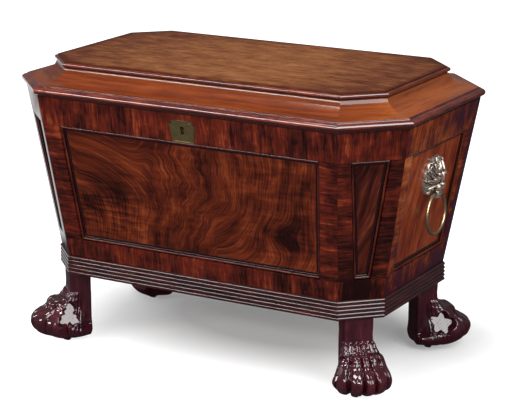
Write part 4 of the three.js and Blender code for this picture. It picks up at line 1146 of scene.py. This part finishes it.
# The lid's rounded edge is touched at every opening: pale bruises in a bright polish.
edge_figure = mahogany(
    "rounded_edge_mahogany", ("#300d08", "#4a1810", "#642618", "#803e2c"),
    [(160, 6, 0.4), (40, 2.4, 0.3)], specks=0.8, coat=1, coat_ior=1.75, waves=0.12, **PLANED)
reed_mahogany = mahogany(
    "reeded_mahogany", ("#16050a", "#260a0e", "#381412", "#50241c"), FINE_STREAKS,
    specks=0.5, coat=0.8, coat_ior=1.7, waves=0.1, **PLANED)
# The paws are stained darker, and their plum hue is a painted reflection of the room's sheen. Every
# cut of the gouge gives a small highlight.
carved = mahogany(
    "carved_mahogany", ("#1d060f", "#2d0a14", "#40111a", "#542022"),
    [(120, 12, 0.3), (50, 3, 0.24)], specks=0.2, rough=0.26, shine=0.2, coat=0.9, coat_ior=1.65,
    gloss=0.06, waves=0.06, upright=(0, np.pi / 2, 0))
# Inside, the wood is sawn and waxed only: paler and matt.
plain_upright = mahogany(
    "plain_mahogany", ("#3a1c10", "#5e3420", "#7a472a", "#9a6440"), [(120, 12, 0.5), (50, 3, 0.4)],
    rough=0.5, upright=(0, 0, 0))
print("solid wood:", [m.name for m in (dark_moulding, end_moulding, edge_figure, reed_mahogany,
                                       carved, plain_upright)])

# %% [markdown]
# ## The metals
# The masks and rings are cast brass. Years of rubbing leave the high places pale and bright,
# and dirt stays dark in the hollows. Lacquer has gone, so the colour is greyer than new brass.
# The shader knows high from low by a mesh's pointiness, so no map has to be painted.

# %% Brass and zinc
# The painted shade inside the keyhole.
KEYHOLE_SHADE = "#080504"


def aged_metal(name, pale, dark, rough=0.34, dirt=0.5, grit=1.2 * MM, bare=1.0):
    """Cast metal, bright where it is rubbed. Pointiness tells high places from hollows. bare is
    the share of the surface that shows as metal, and a dull skin covers the rest."""
    made, tree, out = new_finish(name)
    spot = add(tree, "TexCoord").outputs["Object"]
    blotch = {"Vector": spot, "Scale": 1 / (9 * MM), "Detail": 4, "Roughness": 0.6}
    blotch = add(tree, "TexNoise", blotch)
    fine = add(tree, "TexNoise", {"Vector": spot, "Scale": 1 / grit, "Detail": 2})
    high = add(tree, "NewGeometry").outputs["Pointiness"]
    worn = add(tree, "MapRange", {0: high, 1: 0.46, 2: 0.53, 3: 0.0, 4: 1.0})
    worn = add(tree, "Math", {0: blotch, 1: dirt, 2: worn}, operation="MULTIPLY_ADD")
    worn = add(tree, "Math", {0: worn, 1: -0.5 * dirt}, operation="ADD")
    colour = blend_colours(add(tree, "ValToRGB", {0: worn}), (0.2, dark), (0.7, pale))
    # Painted shade: the keyhole's inside, marked by the attribute hollow, is painted nearly black.
    hollow = add(tree, "Attribute", attribute_name="hollow").outputs["Fac"]
    colour = add(tree, "MixRGB", {0: hollow, 1: colour, 2: linear(KEYHOLE_SHADE)})
    dull = add(tree, "MapRange", {0: worn, 1: 0.0, 2: 1.0, 3: rough + 0.25, 4: rough})
    bump = add(tree, "Bump", {"Height": fine, "Strength": 0.25, "Distance": 0.15 * MM})
    shader = add(tree, "BsdfPrincipled", {
        "Base Color": colour, "Metallic": bare, "Roughness": dull, "Normal": bump})
    tree.links.new(shader.outputs[0], out.inputs[0])
    return made


# The masks are silvery on their crests and nearly black in their hollows, and the rings, which
# hands have kept clean, are the yellowest. The escutcheon is dull and olive, the castors are
# brown with floor dirt, and the lock and the hinges are cleaner. Zinc is a soft matt grey.
mask_brass = aged_metal("worn_cast_brass", "#cebcae", "#0e0908", rough=0.3, bare=0.85)
ring_brass = aged_metal("rubbed_brass", "#dccaa2", "#86683c", rough=0.3, dirt=0.3)
dark_brass = aged_metal("darkened_brass", "#94835a", "#54462c", rough=0.42)
castor_brass = aged_metal("castor_brass", "#7d6a3e", "#2c2212", rough=0.45)
lock_brass = aged_metal("lock_brass", "#b39a5c", "#6a5428", rough=0.35)
zinc = aged_metal("dull_zinc_sheet", "#9a9c9c", "#6c6f70", rough=0.5, grit=4 * MM)
print("metals:", [m.name for m in (mask_brass, ring_brass, dark_brass, castor_brass, lock_brass,
                                   zinc)])

# %% [markdown]
# ## Putting the pieces on the box
# On the real box each of these pieces is glued or screwed to the carcass, or hangs on a hinge.
# Here each piece gets its finish and the body that it moves with, and the nodes of the imported
# model that it stands for are hidden. The nodes that already look right, such as the divisions
# and the hinges, stay, and get only a better finish.

# %% Every piece gets its finish and body, and its nodes are hidden
def fit(piece, body, finish, *nodes):
    """Gives a piece its finish and the body that it moves with, and hides the nodes that it stands
    for.
    """
    piece.data.materials.append(finish)
    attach(piece, body)
    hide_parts(*nodes)


FIGURES = {"end": end_figure, "cant": cant_figure, "long": flame}
for side, name in enumerate(SIDES):
    at_end = KIND_OF[side] == "end"
    fit(frames[side], "carcass", end_banding if at_end else crossbanding, name + "_wall_frame")
    fit(panels[side], "carcass", FIGURES[KIND_OF[side]], name + "_panel")
    fit(beads[side], "carcass", end_moulding if at_end else dark_moulding, name + "_bead")
fit(base, "carcass", reed_mahogany, "base_frame")
fit(plate, "carcass", dark_brass, "escutcheon")
fit(lid_frame, "lid", edge_figure, "lid_frame")
fit(lid_cove, "lid", cove_figure, "lid_cove")
fit(lid_slab, "lid", edge_figure, "lid_cove")
fit(lid_field, "lid", lid_figure, "lid_top")
for name in CORNERS:
    fit(legs[name], "carcass", carved, name + "_leg")
    fit(wheels[name], name + "_wheel", castor_brass, name + "_castor_wheel")
for side in (0, 4):
    fit(masks[side], "carcass", mask_brass, SIDES[side] + "_lion_mask")
    fit(jaws[side], "carcass", mask_brass, SIDES[side] + "_lion_mask")
    fit(rings[side], SIDES[side] + "_handle", ring_brass, SIDES[side] + "_ring")

KEPT_FINISHES = {"castor_horn": castor_brass, "hinge": lock_brass, "lock": lock_brass,
                 "link": lock_brass, "liner": zinc, "division": plain_upright,
                 "floor": plain_upright}
for node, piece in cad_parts.items():
    for word, finish in KEPT_FINISHES.items():
        if word in node:
            piece.data.materials.clear()
            piece.data.materials.append(finish)

# %% [markdown]
# ## The studio
# A pale floor that runs on behind the box, and large soft lights. The camera sees the floor
# glow white farther off, and near the box the glow is dimmed in an oval a little behind its
# middle: a painted shadow over the floor's own shadows. In the polish the floor is a mid grey,
# so the fronts don't go milky, but on the left a glowing sheet that only the polish sees makes
# a painted reflection, which the left corner of the box mirrors.

# %% Floor
def pale_floor():
    """Rings of points out to nine metres, and a thin edge and an underside that close them."""
    turn = np.linspace(0, 2 * np.pi, 96, endpoint=False)[None, :]
    radius = np.array([0.4, 1.5, 4, 9])[:, None]
    points = np.dstack([radius * np.cos(turn), radius * np.sin(turn), 0 * radius * turn])
    under = np.vstack([points[-1:], points[:1] * (0.3, 0.3, 1)]) - (0, 0, 10 * MM)
    return skin("floor", np.vstack([points, under]), around=True, poles=True)


def floor_paper():
    """A ray from the camera sees paper that glows white farther off, and glows less in an oval
    round the box: a painted shadow. A ray from the polish sees a darker paper, with a glowing
    sheet at the left from just before the box's middle on: a painted reflection."""
    made, tree, out = new_finish("pale_paper_floor")
    ray = add(tree, "LightPath")
    in_polish, place = ray.outputs["Is Glossy Ray"], add(tree, "TexCoord").outputs["Object"]
    paper = add(tree, "MixRGB", {0: in_polish, 1: linear("#d0d0d0"), 2: linear("#3c3c40")})
    paper = add(tree, "BsdfDiffuse", {"Color": paper})
    # Painted shadow: the glow is dimmed in an oval centred a little behind the box's middle.
    away = {0: place, 1: (1, 1.6, 1), 2: (0, -0.24, 0)}
    away = add(tree, "VectorMath", away, operation="MULTIPLY_ADD")
    away = add(tree, "VectorMath", {0: away}, operation="LENGTH").outputs["Value"]
    glow_with_painted_shadow = add(tree, "MapRange", {0: away, 1: 0.22, 2: 0.62, 3: 0.14, 4: 1.0})
    glow_with_painted_shadow = add(tree, "Math", {0: ray.outputs["Is Camera Ray"], 1: glow_with_painted_shadow}, operation="MULTIPLY")
    place = add(tree, "SeparateXYZ", {0: place})
    # Painted reflection: a glow at the left that only the polish sees.
    left = add(tree, "MapRange", {0: place, 1: -0.66, 2: -0.74, 3: 0.0, 4: 0.8})
    behind = add(tree, "MapRange", {0: place.outputs[1], 1: -0.12, 2: 0.0, 3: 0.0, 4: 1.0})
    left = add(tree, "Math", {0: left, 1: behind}, operation="MULTIPLY")
    left = add(tree, "Math", {0: in_polish, 1: left}, operation="MULTIPLY")
    strength = add(tree, "Math", {0: glow_with_painted_shadow, 1: left}, operation="ADD")
    glow = add(tree, "Emission", {"Color": (1, 1, 1, 1), "Strength": strength})
    both = add(tree, "AddShader", {0: paper, 1: glow})
    tree.links.new(both.outputs[0], out.inputs[0])
    return made


floor = pale_floor()
floor.data.materials.append(floor_paper())
print("floor, metres:", floor.dimensions[:])


# %% Lights
def softbox(name, at, towards, size, watts, tall=None):
    """A rectangular lamp that faces a point."""
    lamp = bpy.data.lights.new(name, "AREA")
    lamp.shape, lamp.size, lamp.size_y, lamp.energy = "RECTANGLE", size, tall or size, watts
    box = bpy.data.objects.new(name, lamp)
    bpy.context.scene.collection.objects.link(box)
    box.location = at
    box.rotation_euler = Vector(np.subtract(towards, at)).to_track_quat("-Z", "Y").to_euler()
    return box


lamps = [softbox("front_strip", (-0.7, -2.9, 1.45), (0, 0, 0.45), 2.8, 66, tall=0.26),
         softbox("right", (2.6, -1.5, 2.1), (0, 0, 0.3), 1.7, 84, tall=2.3),
         softbox("overhead", (-0.2, -0.5, 2.8), (0, 0, 0.4), 1.2, 62)]
print("lamps:", [lamp.name for lamp in lamps])

# %% The room around
# The camera sees white. The room lights the box softly, and the polish mirrors it more darkly.
IN_LIGHT, IN_POLISH = 0.36, 0.13
world = bpy.data.worlds.new("studio")
bpy.context.scene.world = world
world.use_nodes = True
tree = world.node_tree
tree.nodes.clear()
ray = add(tree, "LightPath")
level = add(tree, "MapRange", {0: ray.outputs["Is Glossy Ray"], 3: IN_LIGHT, 4: IN_POLISH})
level = add(tree, "Math", {0: ray.outputs["Is Camera Ray"], 1: level}, operation="MAXIMUM")
sky = add(tree, "Background", {0: (1, 1, 1, 1), 1: level})
tree.links.new(sky.outputs[0], tree.nodes.new("ShaderNodeOutputWorld").inputs[0])
print("room:", world.name)

# %% [markdown]
# ## The camera
# A long lens from the front right, 15 degrees above the level.

# %% Camera
camera = bpy.data.objects.new("camera", bpy.data.cameras.new("camera"))
bpy.context.scene.collection.objects.link(camera)
camera.location = (1.6623, -2.8883, 1.1663)
camera.rotation_euler = Vector((-0.4785, 0.8380, -0.2624)).to_track_quat("-Z", "Y").to_euler()
camera.data.lens, camera.data.sensor_width = 138.4, 36
bpy.context.scene.camera = camera
bpy.context.scene.view_settings.view_transform = "Standard"
print("camera at", camera.location[:])
